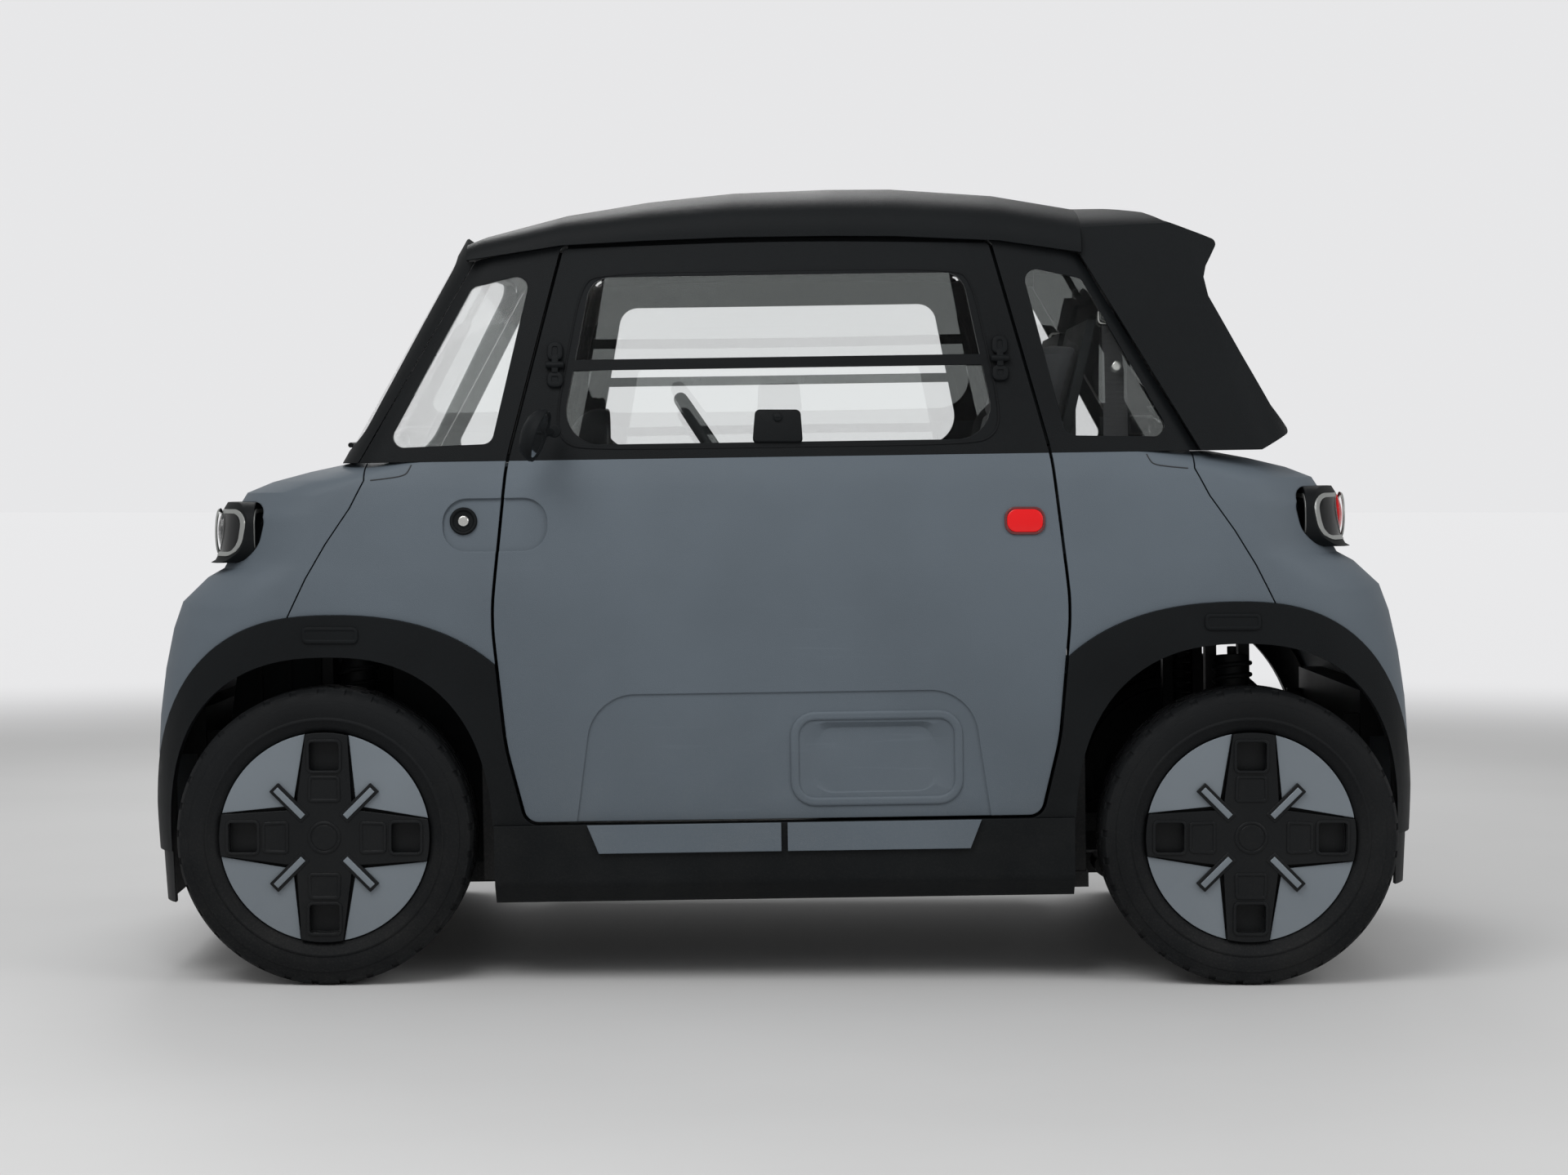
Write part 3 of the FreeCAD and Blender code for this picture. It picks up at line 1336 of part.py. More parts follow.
def make_knuckles():
    """Steering knuckles: an upright on its kingpin, a stub axle and a short track arm."""
    axle = AXLE_AHEAD
    inner = "kingpin_half_track - knuckle_depth / 2"
    clear = "arm_wall / 2 + seam_gap"
    block = box("upright", (f"{axle} - knuckle_width / 2", f"{axle} + knuckle_width / 2"),
                (inner, "kingpin_half_track + knuckle_depth / 2"),
                (f"tyre_radius - ball_offset + {clear}", f"tyre_radius + ball_offset - ({clear})"))
    pin = rod("kingpin", "z", (axle, "kingpin_half_track", "tyre_radius - kingpin_reach"), "kingpin_radius",
              "2 * kingpin_reach")
    stub = rod("stub_axle", "y", (axle, "kingpin_half_track", "tyre_radius"),
               "hub_bore_radius - running_gap",
               "wheel_half_track + rim_width / 2 - seam_gap - kingpin_half_track")
    track_low = "tyre_radius + track_arm_height - knuckle_depth / 4"
    arm = box("track_arm", (axle, f"{axle} + track_arm_reach"), (f"kingpin_half_track - knuckle_depth / 3",
              "kingpin_half_track + knuckle_depth / 3"), (track_low, f"{track_low} + knuckle_depth / 2"))
    left = fused("left_knuckle_members", [block, pin, stub, arm])
    sub_part(left, "knuckle_left", on_body=False)
    sub_part(mirrored(left, "right_knuckle"), "knuckle_right", on_body=False)


def make_steering():
    """Rack and tie rods ahead of the axle, and the column up to the wheel."""
    axle = AXLE_AHEAD
    place = f"{axle} + track_arm_reach"
    level = "tyre_radius + track_arm_height"
    rack = rod("rack_case", "y", (place, "-rail_half_track", level), "rack_radius", "2 * rail_half_track")
    rods = rod("tie_rods", "y", (place, "-tie_rod_end", level), "tie_rod_radius", "2 * tie_rod_end")
    rail_top = raked(Vec(value(place), 0, d.rail_bottom + d.rail_size)).z
    feet = []
    for side in (1, -1):
        foot = Part.makeBox(d.rack_radius, d.rail_size / 2, value(level) - rail_top - d.running_gap,
                            Vec(value(place) - d.rack_radius / 2, side * d.rail_half_track - d.rail_size / 4,
                                rail_top + d.running_gap))
        item = doc.addObject("Part::Feature", "rack_foot")
        item.Shape = foot
        feet.append(item)
    sub_part(fused("rack_and_rods", [rack, rods] + feet), "steering_rack", on_body=False)
    axis, centre = column_axis()
    start = centre + axis * d.column_start
    end_drop = d.column_radius * math.sin(math.radians(d.column_tilt)) + d.running_gap
    length = (d.footwell_front - d.floor_wall - end_drop - start.x) / axis.x
    column = Part.makeCylinder(d.column_radius, length, start, axis)
    shaped("steering_column", [column])


def column_axis():
    """Direction down the steering column, and the middle of the steering wheel."""
    tilt = math.radians(d.column_tilt)
    centre = Vec(d.wheel_centre_ahead, d.driver_half_track, d.wheel_centre_height)
    return Vec(math.cos(tilt), 0, -math.sin(tilt)), centre


def steering_turn(axis):
    """The turn from a level wheel with its first spoke to the right onto the column's axis."""
    return FreeCAD.Rotation(Vec(0, -1, 0), Vec(0, 0, 0), axis * -1, "ZXY")


def steering_rim(axis, centre):
    """A six-sided grip swept round the column's axis."""
    grip = d.steering_grip_radius
    sides = 6
    corners = [Vec(d.steering_radius + grip * math.cos(math.tau * i / sides), 0,
                   grip * math.sin(math.tau * i / sides)) for i in range(sides + 1)]
    rim = Part.Face(Part.makePolygon(corners)).revolve(Vec(0, 0, 0), Vec(0, 0, 1), 360)
    rim.Placement = FreeCAD.Placement(centre, steering_turn(axis))
    return rim


def make_steering_wheel():
    """A three-spoke steering wheel across the column's axis."""
    axis, centre = column_axis()
    rim = steering_rim(axis, centre)
    hub = Part.makeCylinder(d.column_radius * 2, d.column_start * 3 / 5,
                            centre - axis * (d.column_radius / 2), axis)
    spokes = []
    wide = d.steering_grip_radius
    for angle in (0, 180, 270):
        spoke = Part.makeBox(d.steering_radius, wide, wide / 2, Vec(0, -wide / 2, -wide / 4))
        spoke.Placement = FreeCAD.Placement(centre, steering_turn(axis)).multiply(
            FreeCAD.Placement(Vec(0, 0, 0), FreeCAD.Rotation(Vec(0, 0, 1), angle)))
        spokes.append(spoke)
    boss = Part.makeCylinder(d.column_radius * 4 / 5, d.column_start - d.running_gap, centre, axis)
    shaped("steering_wheel", [rim.fuse(spokes + [hub, boss])])


# Wheels

def make_wheel(place, front, side):
    """Tyre, rim with its cross-shaped cover, and the four cover panels of one wheel."""
    ahead = AXLE_AHEAD if front else AXLE_BEHIND
    way = 1 if side == "left" else -1
    spot = Vec(value(ahead), way * d.wheel_half_track, d.tyre_radius)
    turn = FreeCAD.Rotation() if way > 0 else FreeCAD.Rotation(Vec(0, 0, 1), 180)
    placed = FreeCAD.Placement(spot, turn)

    tyre = doc.addObject("PartDesign::Body", f"tyre_{place}_body")
    bead = "rim_width / 2 - rim_wall - running_gap"
    wall = "tyre_width / 2"
    tread = "tyre_width / 2 - tyre_shoulder * 4 / 5"
    middle = "(tyre_radius + bead_radius) / 2"
    inner = "bead_radius + running_gap"
    heel = "rim_flange_radius + running_gap"
    half = [(bead, inner), (bead, heel), (wall, middle), (wall, "tyre_radius - tyre_shoulder * 4 / 5"),
            (tread, "tyre_radius")]
    section = half + [(f"-({across})", height) for across, height in reversed(half)]
    sketch = sketch_on(tyre, f"tyre_{place}_section", "YZ_Plane", section)
    revolve(tyre, f"tyre_{place}_ring", sketch)
    tyre.Placement = placed
    sub_part(tyre, f"tyre_{place}", on_body=False)
    shaped_wheel(place, placed)


def shaped_wheel(place, placed):
    """Steel rim with the black cross of its cover, and the silver panels between the arms."""
    half = d.rim_width / 2
    wall = d.rim_wall
    flange = d.rim_flange_radius
    well = d.rim_well_radius
    seat = d.bead_radius
    disc = half - d.disc_inset
    outer = [(-half, flange), (-half + wall, flange), (-half + wall, seat), (-half / 3, seat),
             (-half / 3, well), (half / 3, well), (half / 3, seat), (half - wall, seat),
             (half - wall, flange), (half, flange)]
    inner = [(half, seat - wall), (half / 3 + wall, seat - wall), (half / 3 + wall, well - wall),
             (-half / 3 - wall, well - wall), (-half / 3 - wall, seat - wall), (-half, seat - wall)]
    ring = Part.Face(Part.makePolygon([Vec(0, y, z) for y, z in outer + inner + outer[:1]]))
    ring = ring.revolve(Vec(0, 0, 0), Vec(0, 1, 0), 360)
    disc_plate = Part.makeCylinder(seat - wall / 2, wall, Vec(0, disc - wall, 0), Vec(0, 1, 0))
    bore = Part.makeCylinder(d.hub_bore_radius, 2 * d.rim_width, Vec(0, -d.rim_width, 0), Vec(0, 1, 0))
    rim = ring.fuse(disc_plate).cut(bore)
    arms = []
    panels = []
    for quarter in range(4):
        turn = FreeCAD.Rotation(Vec(0, 1, 0), 90 * quarter)
        arm = arm_prism(half, d.cover_dish + d.seam_gap)
        arm.Placement = FreeCAD.Placement(Vec(0, 0, 0), turn)
        arms.append(arm)
        panel = panel_prism(half)
        panel.Placement = FreeCAD.Placement(Vec(0, 0, 0), turn)
        panels.append(panel)
    boss = Part.makeCylinder(d.hub_radius, d.cover_dish + d.seam_gap, Vec(0, half, 0), Vec(0, 1, 0))
    disc_round = Part.makeCylinder(flange, 2 * d.overrun, Vec(0, half - d.overrun, 0), Vec(0, 1, 0))
    cross = boss.fuse(arms).common(disc_round).fuse(rim)
    panels = [panel.common(disc_round) for panel in panels]
    for name, shapes in ((f"wheel_{place}", [cross]), (f"wheel_panels_{place}", panels)):
        item = shaped(name, shapes, on_body=False)
        item.Placement = placed


def arm_edge(root, tip):
    """How far an arm's edge lies from the arm's middle line, at the centre and past the rim."""
    end = d.rim_flange_radius + d.overrun
    return root + (tip - root) * end / d.rim_flange_radius


def arm_prism(level, depth):
    """One arm of the cover, narrower towards its tip, with a rounded square vent."""
    tip = d.rim_flange_radius + d.overrun
    lead = arm_edge(d.arm_root_lead, d.arm_tip_lead)
    trail = arm_edge(d.arm_root_trail, d.arm_tip_trail)
    outline = Part.makePolygon([Vec(-d.arm_root_trail, level, 0), Vec(-trail, level, tip),
                                Vec(lead, level, tip), Vec(d.arm_root_lead, level, 0),
                                Vec(-d.arm_root_trail, level, 0)])
    arm = Part.Face(outline).extrude(Vec(0, depth, 0))
    vent = d.vent_size / 2
    middle = d.vent_reach
    corners = [(vent, middle + vent, d.vent_radius), (-vent, middle + vent, d.vent_radius),
               (-vent, middle - vent, d.vent_radius), (vent, middle - vent, d.vent_radius)]
    return arm.cut(side_prism(side_wire(corners), level - depth, level + 2 * depth))


def panel_prism(level):
    """One cover panel filling the corner between two arms."""
    gap = d.glazing_gap
    tip = d.rim_flange_radius + d.overrun
    lead = arm_edge(d.arm_root_lead, d.arm_tip_lead) + gap
    trail = arm_edge(d.arm_root_trail, d.arm_tip_trail) + gap
    root = max(d.arm_root_lead, d.arm_root_trail) + gap
    outline = Part.makePolygon([Vec(root, level, root), Vec(lead, level, tip), Vec(tip, level, tip),
                                Vec(tip, level, trail), Vec(root, level, root)])
    return Part.Face(outline).extrude(Vec(0, d.seam_gap, 0))


# Cabin

def make_cabin():
    """Dashboard with an instrument pod, seat shells and seat pads."""
    dash = doc.addObject("PartDesign::Body", "dash_body")
    profile = [("dash_rear", "dash_bottom"), ("dash_front", "dash_bottom"),
               ("dash_front", "dash_top - overrun"), ("dash_front - overrun", "dash_top"),
               ("dash_rear + overrun", "dash_top"), ("dash_rear", "dash_top - overrun / 2")]
    sketch = sketch_on(dash, "dash_profile", "XZ_Plane", profile)
    pad(dash, "dash_moulding", sketch, "2 * dash_half_width")
    pod_at = Vec(d.dash_rear + d.overrun / 4, d.driver_half_track, d.dash_top + d.pod_radius)
    pod = Part.makeCylinder(d.pod_radius, d.pod_depth, pod_at, Vec(1, 0, 0))
    stem = Part.makeBox(d.pod_depth, d.pod_radius, d.pod_radius + d.overrun / 4,
                        Vec(pod_at.x, d.driver_half_track - d.pod_radius / 2, d.dash_top - d.overrun / 4))
    pod_item = doc.addObject("Part::Feature", "instrument_pod")
    pod_item.Shape = pod.fuse(stem)
    sub_part(fused("dash_and_pod", [dash, pod_item]), "dashboard")

    shells = []
    pads = []
    for side in (1, -1):
        middle = side * d.driver_half_track
        shells.append(seat_shell(middle))
        pads += seat_pads(middle)
    shaped("seat_shells", shells)
    shaped("seat_pads", pads)


def seat_shell(middle):
    """A moulded pan and backrest on a plinth."""
    wall = d.seat_pan_wall
    half = d.seat_width / 2
    floor = d.rail_bottom + d.rail_size + d.floor_wall
    base = d.cushion_bottom
    rear = -d.seat_rear
    lean = d.backrest_lean
    top = d.backrest_height
    pan = [(-d.seat_front, base), (rear, base), (rear - lean, top), (rear - lean - wall, top),
           (rear - wall, base - wall), (-d.seat_front, base - wall)]
    wire = side_wire(pan)
    shell = side_prism(wire, middle - half, middle + half)
    under = d.battery_height if middle < 0 else 0
    height = base - wall - floor
    front_leg = Part.makeBox(wall, d.seat_width, height - under,
                             Vec(-d.seat_front - wall, middle - half, floor + under))
    rear_leg = Part.makeBox(wall, d.seat_width, height, Vec(rear, middle - half, floor))
    return shell.fuse([front_leg, rear_leg])


def seat_pads(middle):
    """Cushion and back pad, each a plain closed solid."""
    gap = d.running_gap
    half = d.seat_width * 9 / 20
    rear = -d.seat_rear
    lean = d.backrest_lean
    top = d.backrest_height - d.overrun
    depth = d.backrest_depth
    base = d.cushion_bottom + gap
    soft = d.overrun / 2
    cushion = side_wire([(-d.seat_front, base, 0), (rear + depth + soft, base, 0),
                         (rear + depth, d.cushion_top, soft), (-d.seat_front, d.cushion_top, soft)])
    slope = lean / (d.backrest_height - d.cushion_bottom)
    low = d.cushion_bottom + gap
    high = top - low
    back = side_wire([(rear + gap * 2, low, 0), (rear + depth, low, soft),
                      (rear + depth - slope * high, top, soft), (rear + gap * 2 - slope * high, top, 0)])
    cushion = side_prism(cushion, middle - half, middle + half)
    back = side_prism(back, middle - half, middle + half)
    cushion = cushion.cut(back)
    return [max(cushion.Solids, key=lambda solid: solid.Volume), back]


def checked_and_written():
    """Every object is up to date and every sub-part sound; then the files are written."""
    doc.recompute()
    for item in doc.Objects:
        if "Invalid" in item.State or "Error" in item.State:
            raise RuntimeError(f"{item.Label} failed: {item.State}")
    for item in sub_parts:
        if item.Shape.isNull() or not item.Shape.isValid():
            raise RuntimeError(f"{item.Label} has no sound shape")
    os.makedirs(PARTS_FOLDER, exist_ok=True)
    for item in sub_parts:
        item.Shape.exportStep(os.path.join(PARTS_FOLDER, f"{item.Label}.step"))


make_skins()
make_lamps()
make_arch_trims()
make_sills()
make_doors()
make_glasshouse()
make_rear_screen()
make_roof()
make_chassis()
make_door_posts()
make_bumper_beams()
make_belt_rings()
make_tub()
make_power()
make_front_suspension()
make_rear_suspension()
make_knuckles()
make_steering()
make_steering_wheel()
for wheel_place, is_front, wheel_side in (("front_left", True, "left"), ("front_right", True, "right"),
                                          ("rear_left", False, "left"), ("rear_right", False, "right")):
    make_wheel(wheel_place, is_front, wheel_side)
make_cabin()
checked_and_written()
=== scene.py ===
"""Looks of a two-seat electric microcar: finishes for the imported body, and its trim, wheels, lamps and cabin.

Everything is in metres in the row frame: +X forward, +Y to the car's left, +Z up, ground at zero.
Body pieces are modelled level and then pitched with the body rake; running gear stands square.
"""
import json
import logging
import math
from dataclasses import dataclass
from enum import Enum
from typing import Callable, Iterable, Sequence

import bpy
from mathutils import Matrix, Vector


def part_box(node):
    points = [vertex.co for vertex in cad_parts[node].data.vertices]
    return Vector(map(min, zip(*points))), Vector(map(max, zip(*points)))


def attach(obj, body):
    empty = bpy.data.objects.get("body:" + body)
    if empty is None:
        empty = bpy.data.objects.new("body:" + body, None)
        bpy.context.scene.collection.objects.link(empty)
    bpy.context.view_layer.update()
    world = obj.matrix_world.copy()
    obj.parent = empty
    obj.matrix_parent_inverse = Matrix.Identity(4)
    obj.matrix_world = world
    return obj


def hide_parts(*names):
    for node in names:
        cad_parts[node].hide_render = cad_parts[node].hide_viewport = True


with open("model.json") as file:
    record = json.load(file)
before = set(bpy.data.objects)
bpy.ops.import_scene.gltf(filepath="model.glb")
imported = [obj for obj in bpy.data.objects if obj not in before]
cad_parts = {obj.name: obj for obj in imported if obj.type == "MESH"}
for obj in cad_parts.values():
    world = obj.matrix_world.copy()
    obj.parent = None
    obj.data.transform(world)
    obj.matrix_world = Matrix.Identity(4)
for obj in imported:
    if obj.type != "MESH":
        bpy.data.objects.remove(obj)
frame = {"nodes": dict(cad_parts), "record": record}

LOG = logging.getLogger("microcar")
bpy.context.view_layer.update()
RAKE_DEGREES = 0.86
RAKE_PIVOT = Vector((0.0, 0.0, 0.35))

Point = Sequence[float]
Item = bpy.types.Object
Material = bpy.types.Material
Node = bpy.types.Node
Socket = bpy.types.NodeSocket


def turn(degrees: float, axis: str) -> Matrix:
    """A rotation about one axis."""
    return Matrix.Rotation(math.radians(degrees), 4, axis)


RAKE = Matrix.Translation(RAKE_PIVOT) @ turn(RAKE_DEGREES, "Y") @ Matrix.Translation(-RAKE_PIVOT)
HALF_TURN = RAKE @ turn(180, "Z") @ RAKE.inverted()
MIRROR = Matrix.Scale(-1, 4, (0, 1, 0))
ONTO_SIDE = turn(-90, "X") @ turn(180, "Z")
ONTO_FRONT = turn(90, "Z") @ turn(90, "X")


class Slot(str, Enum):
    """The record's material slots."""

    BODY = "body_panel"
    TRIM = "black_trim"
    GLASS = "window_glass"
    LENS = "lamp_lens"
    RED = "red_lens"
    TYRE = "tyre_rubber"
    WHEEL_BLACK = "wheel_black"
    WHEEL_SILVER = "wheel_silver"
    STEEL = "frame_steel"
    CABIN = "cabin_moulding"
    FABRIC = "seat_fabric"
    BATTERY = "battery_case"
    MOTOR = "motor_case"


class Shade(Enum):
    """Finishes that no slot names."""

    DARK_RED = "dark_red"
    SILVER = "silver"
    LAMP_GLASS = "lamp_glass"
    MIRROR = "mirror"
    WEBBING = "webbing"
    GAP = "gap"
    BRIGHT = "bright"
    DIAL = "dial"


class Effect(Enum):
    """The shader groups that finishes share."""

    GRAIN = "moulded_grain"
    DUST = "road_dust"
    SCUFFS = "scuffs"
    EDGES = "soft_edges"
    WEAVE = "weave"


# Shader node groups

class Links:
    """A short way to add and join nodes in one tree."""

    def __init__(self, tree: bpy.types.NodeTree) -> None:
        """Keeps the tree to build in."""
        self.tree = tree

    def join(self, value: object, end: Socket) -> None:
        """Gives an input its value.

        Args:
            value: An output socket to link, or a number or colour to set.
            end: The input socket.
        """
        if isinstance(value, Socket):
            self.tree.links.new(value, end)
        else:
            end.default_value = value

    def node(self, kind: str, **settings: object) -> Node:
        """Adds a node.

        Args:
            kind: The node's type name.
            settings: Properties, or inputs written with a leading capital.

        Returns:
            The new node.
        """
        made = self.tree.nodes.new(kind)
        for name, value in settings.items():
            if name[0].isupper():
                self.join(value, made.inputs[name.replace("_", " ")])
            else:
                setattr(made, name, value)
        return made

    def numbered(self, made: Node, parts: dict[int, object]) -> Node:
        """Gives inputs their values by number.

        Args:
            made: The node.
            parts: A socket, number or colour for each input's number.

        Returns:
            The same node.
        """
        for index, part in parts.items():
            self.join(part, made.inputs[index])
        return made

    def maths(self, operation: str, first: object, second: object = 0.0, clamp: bool = False) -> Socket:
        """The result of a math node on sockets or numbers."""
        made = self.node("ShaderNodeMath", operation=operation, use_clamp=clamp)
        return self.numbered(made, {0: first, 1: second}).outputs[0]

    def mix(self, share: object, first: object, second: object) -> Socket:
        """A mix of two colours, the first one where the share is 0."""
        made = self.node("ShaderNodeMix", data_type="RGBA")
        return self.numbered(made, {0: share, 6: first, 7: second}).outputs[2]

    def spread(self, value: Socket, low: float, high: float, to_low: float = 0.0, to_high: float = 1.0) -> Socket:
        """Maps a range of values smoothly onto another."""
        return self.node("ShaderNodeMapRange", interpolation_type="SMOOTHSTEP", Value=value, From_Min=low,
                         From_Max=high, To_Min=to_low, To_Max=to_high).outputs["Result"]

    def place(self) -> Socket:
        """The piece's own coordinates."""
        return self.node("ShaderNodeTexCoord").outputs["Object"]

    def axes(self) -> bpy.types.bpy_prop_collection:
        """The piece's own X, Y and Z, each a socket."""
        return self.node("ShaderNodeSeparateXYZ", Vector=self.place()).outputs

    def noise(self, scale: object, detail: float = 2.0, stretch: Point = (1, 1, 1)) -> Socket:
        """A noise on the piece's own coordinates, which stretch scales on each axis."""
        place = self.node("ShaderNodeMapping", Scale=stretch, Vector=self.place()).outputs["Vector"]
        return self.node("ShaderNodeTexNoise", Detail=detail, Scale=scale, Vector=place).outputs["Fac"]

    def effect(self, effect: Effect, **values: float) -> bpy.types.bpy_prop_collection:
        """The outputs of a shared group with these inputs."""
        return self.node("ShaderNodeGroup", node_tree=EFFECTS[effect], **values).outputs


def new_group(effect: Effect, outputs: Sequence[str], **inputs: float) -> tuple[Links, dict, dict]:
    """Starts a shader node group.

    Args:
        effect: Which group.
        outputs: Output names; Normal is a vector and the others are numbers.
        inputs: Input names with their default numbers.

    Returns:
        The group's links, its input sockets by name and its output sockets by name.
    """
    tree = bpy.data.node_groups.new(effect.value, "ShaderNodeTree")
    for label, number in inputs.items():
        tree.interface.new_socket(label, in_out="INPUT", socket_type="NodeSocketFloat").default_value = number
    for label in outputs:
        kind = "NodeSocketVector" if label == "Normal" else "NodeSocketFloat"
        tree.interface.new_socket(label, in_out="OUTPUT", socket_type=kind)
    links = Links(tree)
    entry, leave = links.node("NodeGroupInput"), links.node("NodeGroupOutput")
    return links, {k: entry.outputs[k] for k in inputs}, {k: leave.inputs[k] for k in outputs}


def grain_group() -> bpy.types.NodeTree:
    """The fine pebble of a moulded surface, with slow changes of tone.

    Returns:
        The node group, with outputs Height and Tone.
    """
    links, given, out = new_group(Effect.GRAIN, ("Height", "Tone"), Scale=900.0, Patch=3.0)
    links.join(links.spread(links.noise(given["Scale"]), 0.35, 0.65), out["Height"])
    links.join(links.spread(links.noise(given["Patch"], 3.0), 0.3, 0.7), out["Tone"])
    return links.tree


def dust_group() -> bpy.types.NodeTree:
    """Road dust that thins out with height, broken up by noise.

    Returns:
        The node group, with output Mask.
    """
    links, given, out = new_group(Effect.DUST, ("Mask",), Bottom=0.1, Top=0.6, Amount=0.3)
    fall = links.node("ShaderNodeMapRange", Value=links.axes()["Z"], From_Min=given["Bottom"],
                      From_Max=given["Top"], To_Min=1.0, To_Max=0.0).outputs["Result"]
    patchy = links.spread(links.noise(9.0, detail=6.0), 0.35, 0.75)
    speck = links.spread(links.noise(260.0), 0.45, 0.7)
    cover = links.maths("MULTIPLY", fall, links.maths("ADD", patchy, speck))
    links.join(links.maths("MULTIPLY", cover, given["Amount"], clamp=True), out["Mask"])
    return links.tree


def scuff_group() -> bpy.types.NodeTree:
    """Thin handling marks that run mostly along the car.

    Returns:
        The node group, with output Mask.
    """
    links, given, out = new_group(Effect.SCUFFS, ("Mask",), Scale=18.0, Amount=0.3)
    thin = links.spread(links.noise(given["Scale"], detail=5.0, stretch=(0.35, 1.0, 7.0)), 0.62, 0.70)
    where = links.spread(links.noise(2.3), 0.5, 0.72)
    marks = links.maths("MULTIPLY", thin, where)
    links.join(links.maths("MULTIPLY", marks, given["Amount"], clamp=True), out["Mask"])
    return links.tree


def edge_group() -> bpy.types.NodeTree:
    """Softened edges: the rounded normal, and a mask of where the edges are.

    Returns:
        The node group, with outputs Normal and Mask.
    """
    links, given, out = new_group(Effect.EDGES, ("Normal", "Mask"), Radius=0.002)
    rounded = links.node("ShaderNodeBevel", samples=4, Radius=given["Radius"]).outputs["Normal"]
    surface_normal = links.node("ShaderNodeNewGeometry").outputs["Normal"]
    apart = links.node("ShaderNodeVectorMath", operation="DOT_PRODUCT")
    links.numbered(apart, {0: rounded, 1: surface_normal})
    links.join(rounded, out["Normal"])
    links.join(links.spread(apart.outputs["Value"], 0.98, 0.80), out["Mask"])
    return links.tree


def weave_group() -> bpy.types.NodeTree:
    """Two crossing sets of threads.

    Returns:
        The node group, with outputs Height and Tone.
    """
    links, given, out = new_group(Effect.WEAVE, ("Height", "Tone"), Scale=420.0)
    axes = links.axes()
    across = links.maths("ADD", axes["X"], axes["Z"])
    waves = []
    for way in ("ADD", "SUBTRACT"):
        phase = links.maths("MULTIPLY", links.maths(way, across, axes["Y"]), given["Scale"])
        waves.append(links.maths("ABSOLUTE", links.maths("SINE", phase)))
    links.join(links.maths("MAXIMUM", *waves), out["Height"])
    links.join(links.spread(links.noise(40.0, detail=4.0), 0.3, 0.7), out["Tone"])
    return links.tree


EFFECTS: dict[Effect, bpy.types.NodeTree] = {
    Effect.GRAIN: grain_group(),
    Effect.DUST: dust_group(),
    Effect.SCUFFS: scuff_group(),
    Effect.EDGES: edge_group(),
    Effect.WEAVE: weave_group(),
}


# Finishes

Colour = tuple[float, float, float]
DUST_COLOUR: Colour = (0.30, 0.28, 0.25)
GLASS_IOR = 1.45


def rgba(colour: Colour, factor: float = 1.0) -> tuple[float, float, float, float]:
    """A linear colour with full alpha, each part multiplied by the factor."""
    return (colour[0] * factor, colour[1] * factor, colour[2] * factor, 1.0)


def new_material(name: str, **values: object) -> tuple[Material, Links, Node]:
    """Starts a material on the Principled shader.

    Args:
        name: The material's name.
        values: Numbers for the shader's inputs.

    Returns:
        The material, its links and its shader.
    """
    material = bpy.data.materials.new(name)
    material.use_nodes = True
    shader = material.node_tree.nodes["Principled BSDF"]
    for label, number in values.items():
        shader.inputs[label.replace("_", " ")].default_value = number
    return material, Links(material.node_tree), shader


@dataclass(frozen=True)
class Finish:
    """A worn surface: base colour, grain, dust, scuffs, and softened edges with a painted highlight along them."""

    name: str
    colour: Colour
    roughness: float = 0.5
    metallic: float = 0.0
    grain_scale: float = 900.0
    grain_depth: float = 0.00008
    patch: float = 3.0
    mottle: float = 0.06
    dust: float = 0.25
    dust_top: float = 0.55
    scuff: float = 0.25
    edge_radius: float = 0.002
    edge_light: float = 0.35
    specular: float = 0.5
    sheen: float = 0.0
    coat: float = 0.0
    weave: float = 0.0
    uneven: float = 0.04
    dust_roughness: float = 0.3
    scuff_roughness: float = 0.12
    scuff_light: float = 1.6
    edge_base: float = 1.5
    edge_gain: float = 2.0

    def build(self) -> Material:
        """Makes the material.

        Returns:
            The Blender material.
        """
        material, links, shader = new_material(
            self.name, Specular_IOR_Level=self.specular, Sheen_Weight=self.sheen, Coat_Weight=self.coat,
            Metallic=self.metallic)
        pattern = links.effect(Effect.GRAIN, Scale=self.grain_scale, Patch=self.patch)
        dust = links.effect(Effect.DUST, Top=self.dust_top, Amount=self.dust)["Mask"]
        scuffs = links.effect(Effect.SCUFFS, Amount=self.scuff)["Mask"]
        edges = links.effect(Effect.EDGES, Radius=self.edge_radius)
        tone = pattern["Tone"]
        if self.weave:
            pattern = links.effect(Effect.WEAVE, Scale=self.weave)
            tone = links.maths("MULTIPLY", pattern["Tone"], pattern["Height"])

        base = links.mix(tone, rgba(self.colour, 1.0 - self.mottle), rgba(self.colour, 1.0 + self.mottle))
        # Edges are painted lighter: a painted highlight along every edge, partly standing for rubbed wear.
        edge_highlighted = links.mix(links.maths("MULTIPLY", edges["Mask"], self.edge_light), base,
                         rgba(self.colour, self.edge_base + self.edge_gain * self.edge_light))
        marked = links.mix(scuffs, edge_highlighted, rgba(self.colour, self.scuff_light))
        links.join(links.mix(dust, marked, rgba(DUST_COLOUR)), shader.inputs["Base Color"])
        rough = links.spread(tone, 0.0, 1.0, self.roughness - self.uneven, self.roughness + self.uneven)
        rough = links.maths("ADD", rough, links.maths("MULTIPLY", dust, self.dust_roughness))
        rough = links.maths("ADD", rough, links.maths("MULTIPLY", scuffs, self.scuff_roughness), clamp=True)
        links.join(rough, shader.inputs["Roughness"])
        bump = links.node("ShaderNodeBump", Strength=1.0, Distance=self.grain_depth,
                          Height=pattern["Height"], Normal=edges["Normal"])
        links.join(bump.outputs["Normal"], shader.inputs["Normal"])
        return material


